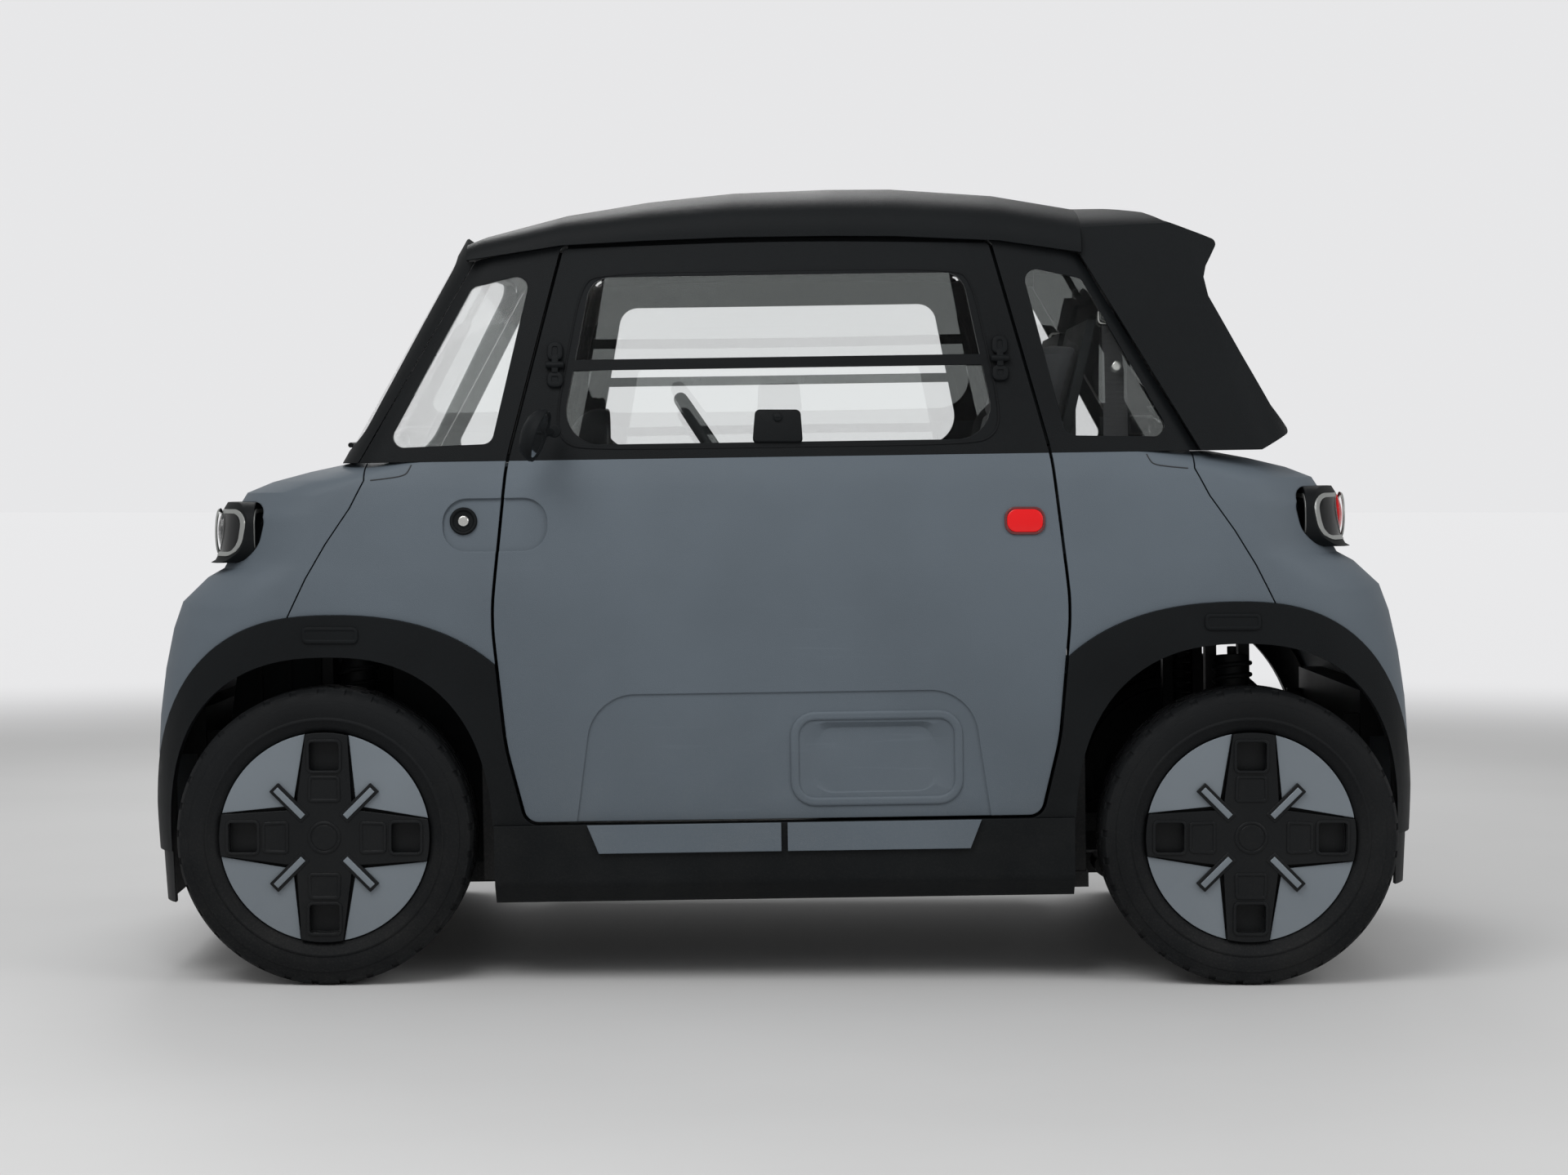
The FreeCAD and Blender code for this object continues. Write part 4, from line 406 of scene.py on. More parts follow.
@dataclass(frozen=True)
class Glazing:
    """Clear or tinted glass with a faint film of dust."""

    name: str
    tint: Colour
    alpha: float = 0.45
    roughness: float = 0.015
    smear: float = 0.02
    film: float = 0.015
    film_bottom: float = 0.9
    film_top: float = 1.5

    def build(self) -> Material:
        """Makes the material.

        Returns:
            The Blender material.
        """
        material, links, shader = new_material(self.name, Transmission_Weight=1.0, IOR=GLASS_IOR)
        dust = links.effect(Effect.DUST, Bottom=self.film_bottom, Top=self.film_top, Amount=self.film)["Mask"]
        links.join(links.mix(dust, rgba(self.tint), rgba(DUST_COLOUR)), shader.inputs["Base Color"])
        smear = links.spread(links.noise(7.0, detail=4.0), 0.4, 0.8, self.roughness, self.roughness + self.smear)
        links.join(smear, shader.inputs["Roughness"])
        links.join(links.maths("ADD", dust, self.alpha, clamp=True), shader.inputs["Alpha"])
        return material


FINISHES: dict[Slot | Shade, Finish | Glazing] = {
    Slot.BODY: Finish("satin_grey_moulding", (0.092, 0.112, 0.132), roughness=0.52, grain_depth=0.00010,
                      dust=0.05, scuff=0.12, edge_radius=0.0025, edge_light=0.25, specular=0.22),
    Slot.TRIM: Finish("grained_black_moulding", (0.0060, 0.0070, 0.0078), roughness=0.50, grain_scale=700.0,
                      grain_depth=0.00016, mottle=0.15, dust=0.012, scuff=0.30, edge_light=0.6, specular=0.09),
    Slot.GLASS: Glazing("side_glass", (0.84, 0.93, 0.90), alpha=0.15),
    Slot.LENS: Glazing("lamp_glass", (0.92, 0.94, 0.96), alpha=0.8),
    Slot.RED: Finish("red_lamp_plastic", (0.66, 0.006, 0.008), roughness=0.20, grain_scale=120.0, dust=0.01,
                     specular=0.25, coat=0.10, edge_light=0.1),
    Slot.TYRE: Finish("road_rubber", (0.0055, 0.0062, 0.0070), roughness=0.62, grain_scale=500.0,
                      grain_depth=0.0002, dust=0.016, dust_top=0.6, mottle=0.2, specular=0.12),
    Slot.WHEEL_BLACK: Finish("gloss_black_cover", (0.0050, 0.0058, 0.0066), roughness=0.34, dust=0.010,
                             specular=0.16),
    Slot.WHEEL_SILVER: Finish("silver_cover_panel", (0.160, 0.185, 0.208), roughness=0.42, metallic=0.25,
                              grain_scale=1500.0, grain_depth=0.00003, dust=0.03),
    Slot.STEEL: Finish("coated_frame_steel", (0.008, 0.009, 0.010), roughness=0.45, dust=0.04, dust_top=0.7,
                       specular=0.2),
    Slot.CABIN: Finish("dark_cabin_moulding", (0.010, 0.012, 0.013), roughness=0.60, grain_scale=800.0,
                       dust=0.01, specular=0.12),
    Slot.FABRIC: Finish("woven_seat_cloth", (0.055, 0.058, 0.063), roughness=0.85, grain_depth=0.0004,
                        sheen=0.25, weave=2200.0, dust=0.0, edge_light=0.0),
    Slot.BATTERY: Finish("battery_case", (0.03, 0.03, 0.032), roughness=0.6),
    Slot.MOTOR: Finish("cast_motor_case", (0.33, 0.33, 0.34), roughness=0.42, metallic=0.9, grain_scale=350.0,
                       grain_depth=0.0002, dust=0.30, dust_top=0.8),
    Shade.DARK_RED: Finish("dark_red_rim", (0.09, 0.004, 0.005), roughness=0.3, coat=0.4, dust=0.02),
    Shade.SILVER: Finish("satin_silver_band", (0.30, 0.31, 0.30), roughness=0.38, metallic=0.6, dust=0.02,
                         grain_scale=1600.0, grain_depth=0.00002),
    Shade.LAMP_GLASS: Finish("smoked_lamp_cover", (0.004, 0.0045, 0.005), roughness=0.16, dust=0.0,
                             specular=0.15, grain_depth=0.00001, edge_light=0.1),
    Shade.MIRROR: Finish("mirror_glass", (0.75, 0.77, 0.78), roughness=0.04, metallic=1.0, dust=0.01,
                         grain_depth=0.000002, edge_light=0.0, scuff=0.02),
    Shade.WEBBING: Finish("belt_webbing", (0.02, 0.021, 0.023), roughness=0.8, weave=3400.0,
                          grain_depth=0.0003, sheen=0.3, dust=0.0),
    Shade.GAP: Finish("panel_gap", (0.022, 0.024, 0.027), roughness=0.8, dust=0.1),
    Shade.BRIGHT: Finish("bright_steel", (0.62, 0.62, 0.60), roughness=0.22, metallic=1.0, dust=0.02,
                         grain_depth=0.00002),
    Shade.DIAL: Finish("display_face", (0.02, 0.026, 0.03), roughness=0.12, coat=0.5, dust=0.0,
                       grain_depth=0.000005),
}
MATERIALS: dict[Slot | Shade, Material] = {key: finish.build() for key, finish in FINISHES.items()}


# Camera, light and floor

@dataclass(frozen=True)
class SoftLamp:
    """A round area lamp that looks at the car."""

    name: str
    spot: Point
    size: float
    power: float
    aim: Point = (0.0, 0.0, 0.6)

    def build(self) -> None:
        """Adds the lamp."""
        data = bpy.data.lights.new(self.name, "AREA")
        data.shape = "DISK"
        data.size = self.size
        data.energy = self.power
        lamp = bpy.data.objects.new(self.name, data)
        bpy.context.scene.collection.objects.link(lamp)
        lamp.location = self.spot
        lamp.rotation_euler = (Vector(self.aim) - Vector(self.spot)).to_track_quat("-Z", "Y").to_euler()


@dataclass
class Studio:
    """A pale room with soft light, and the photograph's point of view."""

    camera_at: Point = (0.0, 6.66, 0.972)
    focal_px: float = 3940.0
    image_width: float = 1920.0
    horizon_above_middle: float = 149.5
    sensor_width: float = 36.0
    clip_end: float = 100.0
    lamps: tuple[SoftLamp, ...] = (SoftLamp("key", (1.5, 3.4, 4.2), 3.2, 130.0),
                                   SoftLamp("fill", (-3.4, 3.0, 2.6), 2.6, 45.0),
                                   SoftLamp("back", (0.5, -3.6, 4.0), 3.0, 90.0))
    room_light: float = 0.52
    floor_half: float = 60.0
    floor_colour: Colour = (0.60, 0.60, 0.60)
    floor_dark: float = 0.97
    floor_specular: float = 0.2
    floor_roughness: float = 0.55
    backdrop_colour: Colour = (0.80, 0.80, 0.81)
    far_glow: float = 0.93
    fade_start: float = 4.8
    fade_end: float = 8.5

    def build(self) -> None:
        """Makes the camera, the lamps, the world and the floor."""
        bpy.context.scene.view_settings.view_transform = "Standard"
        self.camera()
        for lamp in self.lamps:
            lamp.build()
        self.world()
        self.floor()

    def camera(self) -> None:
        """Adds the camera at the photograph's angle."""
        data = bpy.data.cameras.new("camera")
        data.sensor_width = self.sensor_width
        data.lens = self.focal_px / self.image_width * self.sensor_width
        data.clip_end = self.clip_end
        camera = bpy.data.objects.new("camera", data)
        bpy.context.scene.collection.objects.link(camera)
        camera.location = self.camera_at
        pitch = math.atan(self.horizon_above_middle / self.focal_px)
        camera.rotation_euler = (math.pi / 2 - pitch, 0.0, math.pi)
        bpy.context.scene.camera = camera

    def world(self) -> None:
        """Lights the room evenly and shows a pale background to the camera and through glass."""
        world = bpy.data.worlds.new("studio")
        bpy.context.scene.world = world
        world.use_nodes = True
        links = Links(world.node_tree)
        links.tree.nodes.clear()
        room = links.node("ShaderNodeBackground", Color=(1, 1, 1, 1), Strength=self.room_light)
        seen = links.node("ShaderNodeBackground", Color=rgba(self.backdrop_colour), Strength=1.0)
        path = links.node("ShaderNodeLightPath").outputs
        shown = links.maths("MAXIMUM", path["Is Camera Ray"], path["Is Transmission Ray"])
        both = links.numbered(links.node("ShaderNodeMixShader"), {0: shown, 1: room.outputs[0], 2: seen.outputs[0]})
        links.node("ShaderNodeOutputWorld", Surface=both.outputs[0])

    def floor(self) -> None:
        """Adds the floor as stage, fading into the background far from the car."""
        deselect()
        bpy.ops.mesh.primitive_plane_add(size=2 * self.floor_half, location=(0, 0, 0))
        floor = bpy.context.object
        floor.name = "floor"
        glow = rgba(self.backdrop_colour, self.far_glow)
        material, links, shader = new_material(
            "pale_floor", Emission_Color=glow, Specular_IOR_Level=self.floor_specular,
            Roughness=self.floor_roughness)
        tone = links.mix(links.spread(links.noise(1.2, detail=4.0), 0.3, 0.7),
                         rgba(self.floor_colour, self.floor_dark), rgba(self.floor_colour))
        away = links.numbered(links.node("ShaderNodeVectorMath", operation="LENGTH"), {0: links.place()})
        fade = links.spread(away.outputs["Value"], self.fade_start, self.fade_end)
        links.join(links.mix(fade, tone, rgba(self.backdrop_colour, 0.0)), shader.inputs["Base Color"])
        links.join(fade, shader.inputs["Emission Strength"])
        floor.data.materials.append(material)


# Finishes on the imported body

WELD_REACH = 0.00005
CREASE_DEGREES = 28.0


def dress_nodes() -> None:
    """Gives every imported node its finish, joined surfaces and softened shading."""
    slots = {part["node"]: Slot(part["material_slot"]) for part in frame["record"]["subparts"]}
    for name, node in frame["nodes"].items():
        node.data.materials.clear()
        node.data.materials.append(MATERIALS[slots[name]])
        if slots[name] == Slot.GLASS:
            continue
        node.data.polygons.foreach_set("use_smooth", [True] * len(node.data.polygons))
        node.modifiers.new("joined", "WELD").merge_threshold = WELD_REACH
        node.modifiers.new("creases", "EDGE_SPLIT").split_angle = math.radians(CREASE_DEGREES)


# Modelling in edit mode

OUT_OF_PLACE = 1e-5
FACING = 0.9
BEVEL_STEPS = 3
FRAME_BEVEL_STEPS = 2
SOFT_CREASE = 60.0


def deselect() -> None:
    """Leaves nothing selected, in object mode."""
    if bpy.context.object and bpy.context.object.mode != "OBJECT":
        bpy.ops.object.mode_set(mode="OBJECT")
    bpy.ops.object.select_all(action="DESELECT")


def only(item: Item) -> None:
    """Selects one object alone and makes it active.

    Args:
        item: The object.
    """
    deselect()
    item.select_set(True)
    bpy.context.view_layer.objects.active = item


def open_edit(item: Item, mode: str = "FACE", action: str = "DESELECT") -> None:
    """Puts one object alone into edit mode.

    Args:
        item: The object.
        mode: What is to be selected: VERT, EDGE or FACE.
        action: SELECT for all of it or DESELECT for nothing.
    """
    only(item)
    bpy.ops.object.mode_set(mode="EDIT")
    bpy.ops.mesh.select_mode(type=mode)
    bpy.ops.mesh.select_all(action=action)


def close_edit() -> None:
    """Goes back to object mode."""
    bpy.ops.object.mode_set(mode="OBJECT")


def pick(item: Item, test: Callable[..., bool], mode: str = "FACE") -> None:
    """Selects the faces or vertices that pass a test, and opens edit mode on them.

    Args:
        item: The object.
        test: Says whether a face or vertex is wanted.
        mode: FACE or VERT.
    """
    open_edit(item, mode)
    close_edit()
    for part in item.data.polygons if mode == "FACE" else item.data.vertices:
        part.select = bool(test(part))
    bpy.ops.object.mode_set(mode="EDIT")


def settle(item: Item) -> Item:
    """Merges doubles, turns the faces outwards and leaves edit mode.

    Args:
        item: The object, in edit or object mode.

    Returns:
        The same object.
    """
    open_edit(item, action="SELECT")
    bpy.ops.mesh.remove_doubles(threshold=OUT_OF_PLACE)
    bpy.ops.mesh.normals_make_consistent(inside=False)
    close_edit()
    return item


def moved(item: Item, matrix: Matrix) -> Item:
    """Moves a mesh, keeping its faces outwards in a mirror.

    Args:
        item: The object.
        matrix: Where its mesh goes.

    Returns:
        The same object.
    """
    item.data.transform(matrix)
    if matrix.determinant() < 0:
        item.data.flip_normals()
    return item


def copied(item: Item, matrix: Matrix) -> Item:
    """A copy with its own mesh, moved by a matrix.

    Args:
        item: The object to copy.
        matrix: Where the copy goes.

    Returns:
        The copy.
    """
    other = item.copy()
    other.data = item.data.copy()
    bpy.context.scene.collection.objects.link(other)
    return moved(other, matrix)


def plain_copy(node: str) -> Item:
    """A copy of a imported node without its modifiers, and with its doubles merged.

    Args:
        node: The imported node.

    Returns:
        The copy.
    """
    item = copied(frame["nodes"][node], Matrix())
    item.modifiers.clear()
    return settle(item)


def joined(items: Sequence[Item]) -> Item:
    """Makes one object of several.

    Args:
        items: The objects; the first one stays.

    Returns:
        The joined object.
    """
    deselect()
    for item in items:
        item.select_set(True)
    bpy.context.view_layer.objects.active = items[0]
    bpy.ops.object.join()
    return items[0]


def shaped(item: Item, kind: str, **settings: object) -> Item:
    """Applies a modifier.

    Args:
        item: The object.
        kind: The modifier's type.
        settings: Its properties.

    Returns:
        The same object.
    """
    only(item)
    modifier = item.modifiers.new("shape", kind)
    for name, value in settings.items():
        setattr(modifier, name, value)
    bpy.ops.object.modifier_apply(modifier=modifier.name)
    return item


def trimmed(item: Item, other: Item, operation: str) -> None:
    """Cuts or keeps what another object covers, and removes that object."""
    shaped(item, "BOOLEAN", operation=operation, solver="EXACT", object=other)
    bpy.data.objects.remove(other)


@dataclass(frozen=True)
class Slab:
    """A rounded plate on the XY plane that grows along +Z, or a flat frame when it has a border.

    The taper is its far side's length as a share of the near one's, and the recess is the border
    left round a sunk face.
    """

    size: Point
    radius: float
    thickness: float
    edge: float = 0.0
    taper: float = 1.0
    recess: float = 0.0
    recess_depth: float = 0.0
    border: float = 0.0
    corner_steps: int = 6

    def build(self) -> Item:
        """Models the plate or frame.

        Returns:
            The plate or frame.
        """
        deselect()
        bpy.ops.mesh.primitive_plane_add(size=1, location=(0, 0, 0))
        item = bpy.context.object
        item.scale = (*self.size, 1)
        bpy.ops.object.transform_apply(location=False, rotation=False, scale=True)
        if self.taper != 1.0:
            pick(item, lambda vertex: vertex.co.y > 0, "VERT")
            bpy.ops.transform.resize(value=(self.taper, 1, 1))
        open_edit(item, "VERT", "SELECT")
        bpy.ops.mesh.bevel(offset=self.radius, segments=self.corner_steps, affect="VERTICES")
        if self.border:
            bpy.ops.mesh.select_mode(type="FACE")
            bpy.ops.mesh.select_all(action="SELECT")
            bpy.ops.mesh.inset(thickness=self.border, depth=0)
            bpy.ops.mesh.delete(type="FACE")
        bpy.ops.mesh.select_all(action="SELECT")
        bpy.ops.mesh.extrude_region_move(TRANSFORM_OT_translate={"value": (0, 0, self.thickness)})
        settle(item)
        if self.edge:
            pick(item, self.on_top)
            if self.border:
                bpy.ops.mesh.region_to_loop()
            steps = FRAME_BEVEL_STEPS if self.border else BEVEL_STEPS
            bpy.ops.mesh.bevel(offset=self.edge, segments=steps, affect="EDGES")
            close_edit()
        if self.recess:
            pick(item, self.on_top)
            bpy.ops.mesh.inset(thickness=self.recess, depth=0)
            bpy.ops.mesh.inset(thickness=self.recess_depth / 2, depth=-self.recess_depth)
            close_edit()
        return item

    def on_top(self, face: bpy.types.MeshPolygon) -> bool:
        """Whether a face is the upper one."""
        return face.center.z > self.thickness - OUT_OF_PLACE and face.normal.z > FACING


def lathe(profile: Iterable[Point], steps: int = 56, closed: bool = False) -> Item:
    """A shape turned about the Y axis.

    Args:
        profile: The section's (across, radius) points in order.
        steps: Facets round the axis.
        closed: Whether the last point joins the first.

    Returns:
        The turned shape.
    """
    points = [Vector((0.0, across, radius)) for across, radius in profile]
    if closed:
        points.append(points[0].copy())
    deselect()
    bpy.ops.mesh.primitive_plane_add(size=0.001, location=(0, 0, 0))
    item = bpy.context.object
    open_edit(item, "VERT", "SELECT")
    bpy.ops.mesh.merge(type="CENTER")
    bpy.ops.mesh.select_all(action="SELECT")
    bpy.ops.transform.translate(value=points[0])
    for start, end in zip(points, points[1:]):
        bpy.ops.mesh.extrude_vertices_move(TRANSFORM_OT_translate={"value": end - start})
    bpy.ops.mesh.select_all(action="SELECT")
    bpy.ops.mesh.spin(steps=steps, angle=math.tau, center=(0, 0, 0), axis=(0, 1, 0))
    return settle(item)


def aimed(run: Vector, axis: str, up: str) -> Matrix:
    """A rotation that lays an axis along a direction."""
    return run.to_track_quat(axis, up).to_matrix().to_4x4()


@dataclass(frozen=True)
class Rod:
    """A round bar from one point to another, with its two ends bevelled by the edge."""

    start: Point
    end: Point
    radius: float
    sides: int = 20
    edge: float = 0.0

    def build(self) -> Item:
        """Models the bar.

        Returns:
            The bar.
        """
        first, last = Vector(self.start), Vector(self.end)
        run = last - first
        deselect()
        bpy.ops.mesh.primitive_cylinder_add(vertices=self.sides, radius=self.radius, depth=run.length,
                                            location=(0, 0, 0))
        item = bpy.context.object
        if self.edge:
            pick(item, lambda face: abs(face.normal.z) > FACING)
            bpy.ops.mesh.region_to_loop()
            bpy.ops.mesh.bevel(offset=self.edge, segments=BEVEL_STEPS, affect="EDGES")
            close_edit()
        return moved(item, Matrix.Translation((first + last) / 2) @ aimed(run, "Z", "Y"))


def tube_along(points: Sequence[Point], radius: float, cyclic: bool = False) -> Item:
    """A round tube on a smooth curve through points, made a mesh.

    Args:
        points: The curve's control points.
        radius: The tube's radius.
        cyclic: Whether the curve closes.

    Returns:
        The tube.
    """
    data = bpy.data.curves.new("run", "CURVE")
    data.dimensions = "3D"
    data.bevel_depth = radius
    data.bevel_resolution = 3
    data.use_fill_caps = True
    line = data.splines.new("NURBS")
    line.points.add(len(points) - 1)
    for spot, point in zip(line.points, points):
        spot.co = (*point, 1.0)
    line.use_endpoint_u = not cyclic
    line.use_cyclic_u = cyclic
    line.order_u = 3
    line.resolution_u = 6
    item = bpy.data.objects.new("run", data)
    bpy.context.scene.collection.objects.link(item)
    only(item)
    bpy.ops.object.convert(target="MESH")
    return settle(bpy.context.object)


def body_with(node: str) -> str:
    """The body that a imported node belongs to."""
    return next(name for name, nodes in frame["record"]["behaviour"]["bodies"].items() if node in nodes)


def finished(item: Item, name: str, slot: Slot, carrier: str, replaces: Sequence[str] = (),
             shade: Shade | None = None, crease: float = 32.0) -> None:
    """Names, dresses and mounts a piece.

    Args:
        item: The piece.
        name: Its name.
        slot: Its material slot in the record.
        carrier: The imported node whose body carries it.
        replaces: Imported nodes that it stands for.
        shade: Its finish, when it isn't the slot's own.
        crease: The angle in degrees above which an edge stays sharp.
    """
    only(item)
    bpy.ops.object.shade_smooth_by_angle(angle=math.radians(crease))
    item.name = name
    item.data.name = name
    item.data.materials.clear()
    item.data.materials.append(MATERIALS[shade or slot])
    for face in item.data.polygons:
        face.material_index = 0
    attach(item, body_with(carrier))
    if replaces:
        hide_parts(*replaces)
    LOG.info("%s: %d faces", name, len(item.data.polygons))


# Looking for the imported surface, from places in the level body frame

BESIDE = 2.0
INSIDE = 0.30


def cast(node: str, place: Point, way: Point) -> tuple[bool, Vector, Vector]:
    """Whether a node is seen from a place that way, the point on it and its normal."""
    return frame["nodes"][node].ray_cast(RAKE @ Vector(place), Vector(way))[:3]


def seen(node: str, places: Iterable[Point], way: Point) -> list[Vector]:
    """The points of a node that are seen from places that way."""
    return [spot for found, spot, _ in (cast(node, place, way) for place in places) if found]


def on_side(node: str, ahead: float, height: float, side: int) -> tuple[Vector, Vector]:
    """A point on the outside of a node.

    Args:
        node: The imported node.
        ahead: How far ahead of the middle.
        height: Height above the ground.
        side: 1 for the car's left and -1 for its right.

    Returns:
        The point and the normal there.
    """
    found, spot, normal = cast(node, (ahead, side * BESIDE, height), (0, -side, 0))
    if not found:
        raise RuntimeError(f"nothing of {node} at {ahead:.3f}, {height:.3f}")
    return spot, normal


def seat_on(node: str, ahead: float, height: float, side: int = 1, sink: float = 0.0) -> Matrix:
    """Where a plate sits flat on the outside of a node.

    Args:
        node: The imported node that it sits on.
        ahead: How far ahead of the middle.
        height: Height above the ground.
        side: 1 for the car's left and -1 for its right.
        sink: How far the plate's foot is below the surface.

    Returns:
        A matrix from a plate on the XY plane, with +X forward on the left side, to its place.
    """
    spot, normal = on_side(node, ahead, height, side)
    along = Vector((0, 0, 1)).cross(normal).normalized()
    matrix = Matrix((along, normal.cross(along), normal)).transposed().to_4x4()
    matrix.translation = spot - normal * sink
    return matrix


def draped(item: Item, node: str, side: int, sink: float) -> None:
    """Lays a piece modelled on the XY plane onto the side of a node: X ahead, Y up and Z outwards.

    Args:
        item: The piece, with X and Y in the level body frame.
        node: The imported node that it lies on.
        side: 1 for the car's left and -1 for its right.
        sink: How far the piece's foot is below the surface.
    """
    for vertex in item.data.vertices:
        spot, normal = on_side(node, vertex.co.x, vertex.co.y, side)
        vertex.co = spot + normal * (vertex.co.z - sink)
    settle(item)


# Wheels

@dataclass
class RoadWheel:
    """One wheel: a treaded tyre, a cover with rimmed vents and framed bars, and a plain hub cap."""

    place: str
    side: int
    arm_face: float = 0.0725
    panel_face: float = 0.0665
    vent_reach: float = 0.152
    rib_reach: float = 0.091
    bar_reach: float = 0.0915
    foot: float = 0.0005
    vent_rim: Slab = Slab((0.066, 0.064), 0.011, 0.0035, 0.001, border=0.0055)
    arm_rib: Slab = Slab((0.062, 0.050), 0.008, 0.0030, 0.0012, taper=0.94, recess=0.004, recess_depth=0.0018)
    bar_frame: Slab = Slab((0.083, 0.023), 0.0015, 0.0085, 0.0008)
    bar: Slab = Slab((0.072, 0.0115), 0.0008, 0.0025, 0.0006)
    bar_rise: float = 0.0070
    tread_steps: int = 132
    tread_radius: float = 0.2655
    block_raise: float = 1.0140
    block_pitch: int = 4
    block_stagger: int = 2
    rib_pitch: int = 6
    rib_staggers: tuple[int, int] = (1, 3)
    shoulder: float = 0.0525
    outer_groove: float = 0.0310
    inner_rib: Point = (0.0045, 0.0230)
    sidewall: tuple[Point, ...] = ((0.0583, 0.1843), (0.0585, 0.1963), (0.0655, 0.1995), (0.0712, 0.2080),
                                   (0.0745, 0.2175), (0.0762, 0.2195), (0.0762, 0.2222), (0.0745, 0.2245),
                                   (0.0760, 0.2330), (0.0765, 0.2430), (0.0748, 0.2520), (0.0732, 0.2532),
                                   (0.0722, 0.2590), (0.0680, 0.2672), (0.0615, 0.2722), (0.0530, 0.2742))
    grooves: tuple[Point, ...] = ((0.0310, 0.2746), (0.0300, 0.2695), (0.0240, 0.2695), (0.0230, 0.2746),
                                  (0.0045, 0.2746), (0.0035, 0.2700))
    hub_cap: tuple[Point, ...] = ((-0.001, 0.031), (0.0015, 0.031), (0.0025, 0.029), (0.0025, 0.026),
                                  (0.0012, 0.0255), (0.0012, 0.0235), (0.0022, 0.023), (0.0022, 0.0))

    def build(self) -> None:
        """Makes the wheel's pieces at their place."""
        low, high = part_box(f"tyre_{self.place}")
        spot = Matrix.Translation((Vector(low) + Vector(high)) / 2)
        if self.side < 0:
            spot = spot @ turn(180, "Z")
        cap = [(self.arm_face + across, radius) for across, radius in self.hub_cap]
        pieces = {
            "treaded_tyre": (Slot.TYRE, self.tyre()),
            "vent_rims": (Slot.WHEEL_BLACK, self.on_arms(self.vent_rim, self.vent_reach)),
            "bar_frames": (Slot.WHEEL_BLACK, self.on_corners(self.bar_frame, -2 * self.foot)),
            "cover_bars": (Slot.WHEEL_SILVER, self.on_corners(self.bar, self.bar_rise)),
            "arm_ribs": (Slot.WHEEL_BLACK, self.on_arms(self.arm_rib, self.rib_reach)),
            "hub_cap": (Slot.WHEEL_BLACK, lathe(cap, 48)),
        }
        for name, (slot, item) in pieces.items():
            hides = (f"tyre_{self.place}",) if slot == Slot.TYRE else ()
            finished(moved(item, spot), f"{name}_{self.place}", slot, f"wheel_{self.place}", hides)

    def tyre(self) -> Item:
        """The tyre, with ribs and blocks raised from its tread.

        Returns:
            The tyre about the Y axis.
        """
        half = self.sidewall + self.grooves
        item = lathe(half + tuple((-across, radius) for across, radius in reversed(half)), self.tread_steps)
        pick(item, self.raised)
        bpy.ops.mesh.extrude_region_move()
        bpy.ops.transform.resize(value=(self.block_raise, 1, self.block_raise), center_override=(0, 0, 0))
        close_edit()
        return item

    def raised(self, face: bpy.types.MeshPolygon) -> bool:
        """Whether a face is the top of a tread block.

        Args:
            face: A face of the plain tyre.

        Returns:
            True on the blocks and False in the slits between them.
        """
        spot = face.center
        across = abs(spot.y)
        step = math.tau / self.tread_steps
        index = int(math.floor(math.atan2(spot.x, spot.z) / step + 1e-4)) % self.tread_steps
        if math.hypot(spot.x, spot.z) < self.tread_radius or math.hypot(face.normal.x, face.normal.z) < 0.5:
            return False
        if across > self.shoulder:
            return index % self.block_pitch != 0
        if across > self.outer_groove:
            return (index + self.block_stagger) % self.block_pitch != 0
        stagger = self.rib_staggers[spot.y <= 0]
        return self.inner_rib[0] < across < self.inner_rib[1] and (index + stagger) % self.rib_pitch != 0

    def on_arms(self, slab: Slab, reach: float) -> Item:
        """Puts a plate on the outside of each arm."""
        return self.around(slab, self.arm_face - self.foot, reach, ONTO_SIDE, 0)

    def on_corners(self, slab: Slab, rise: float) -> Item:
        """Puts a bar across each corner between two arms."""
        return self.around(slab, self.panel_face + rise, self.bar_reach, turn(-90, "X") @ turn(90, "Z"), 45)

    @staticmethod
    def around(slab: Slab, level: float, reach: float, stand: Matrix, first: float) -> Item:
        """Repeats a plate four times round the axle.

        Args:
            slab: The plate.
            level: How far out along the axle.
            reach: How far out from the hub.
            stand: Turns the plate to face outwards.
            first: The first one's angle in degrees.

        Returns:
            The four plates as one object.
        """
        item = moved(slab.build(), Matrix.Translation((0, level, reach)) @ stand)
        copies = [copied(item, turn(first + 90 * k, "Y")) for k in range(4)]
        bpy.data.objects.remove(item)
        return joined(copies)


# Doors

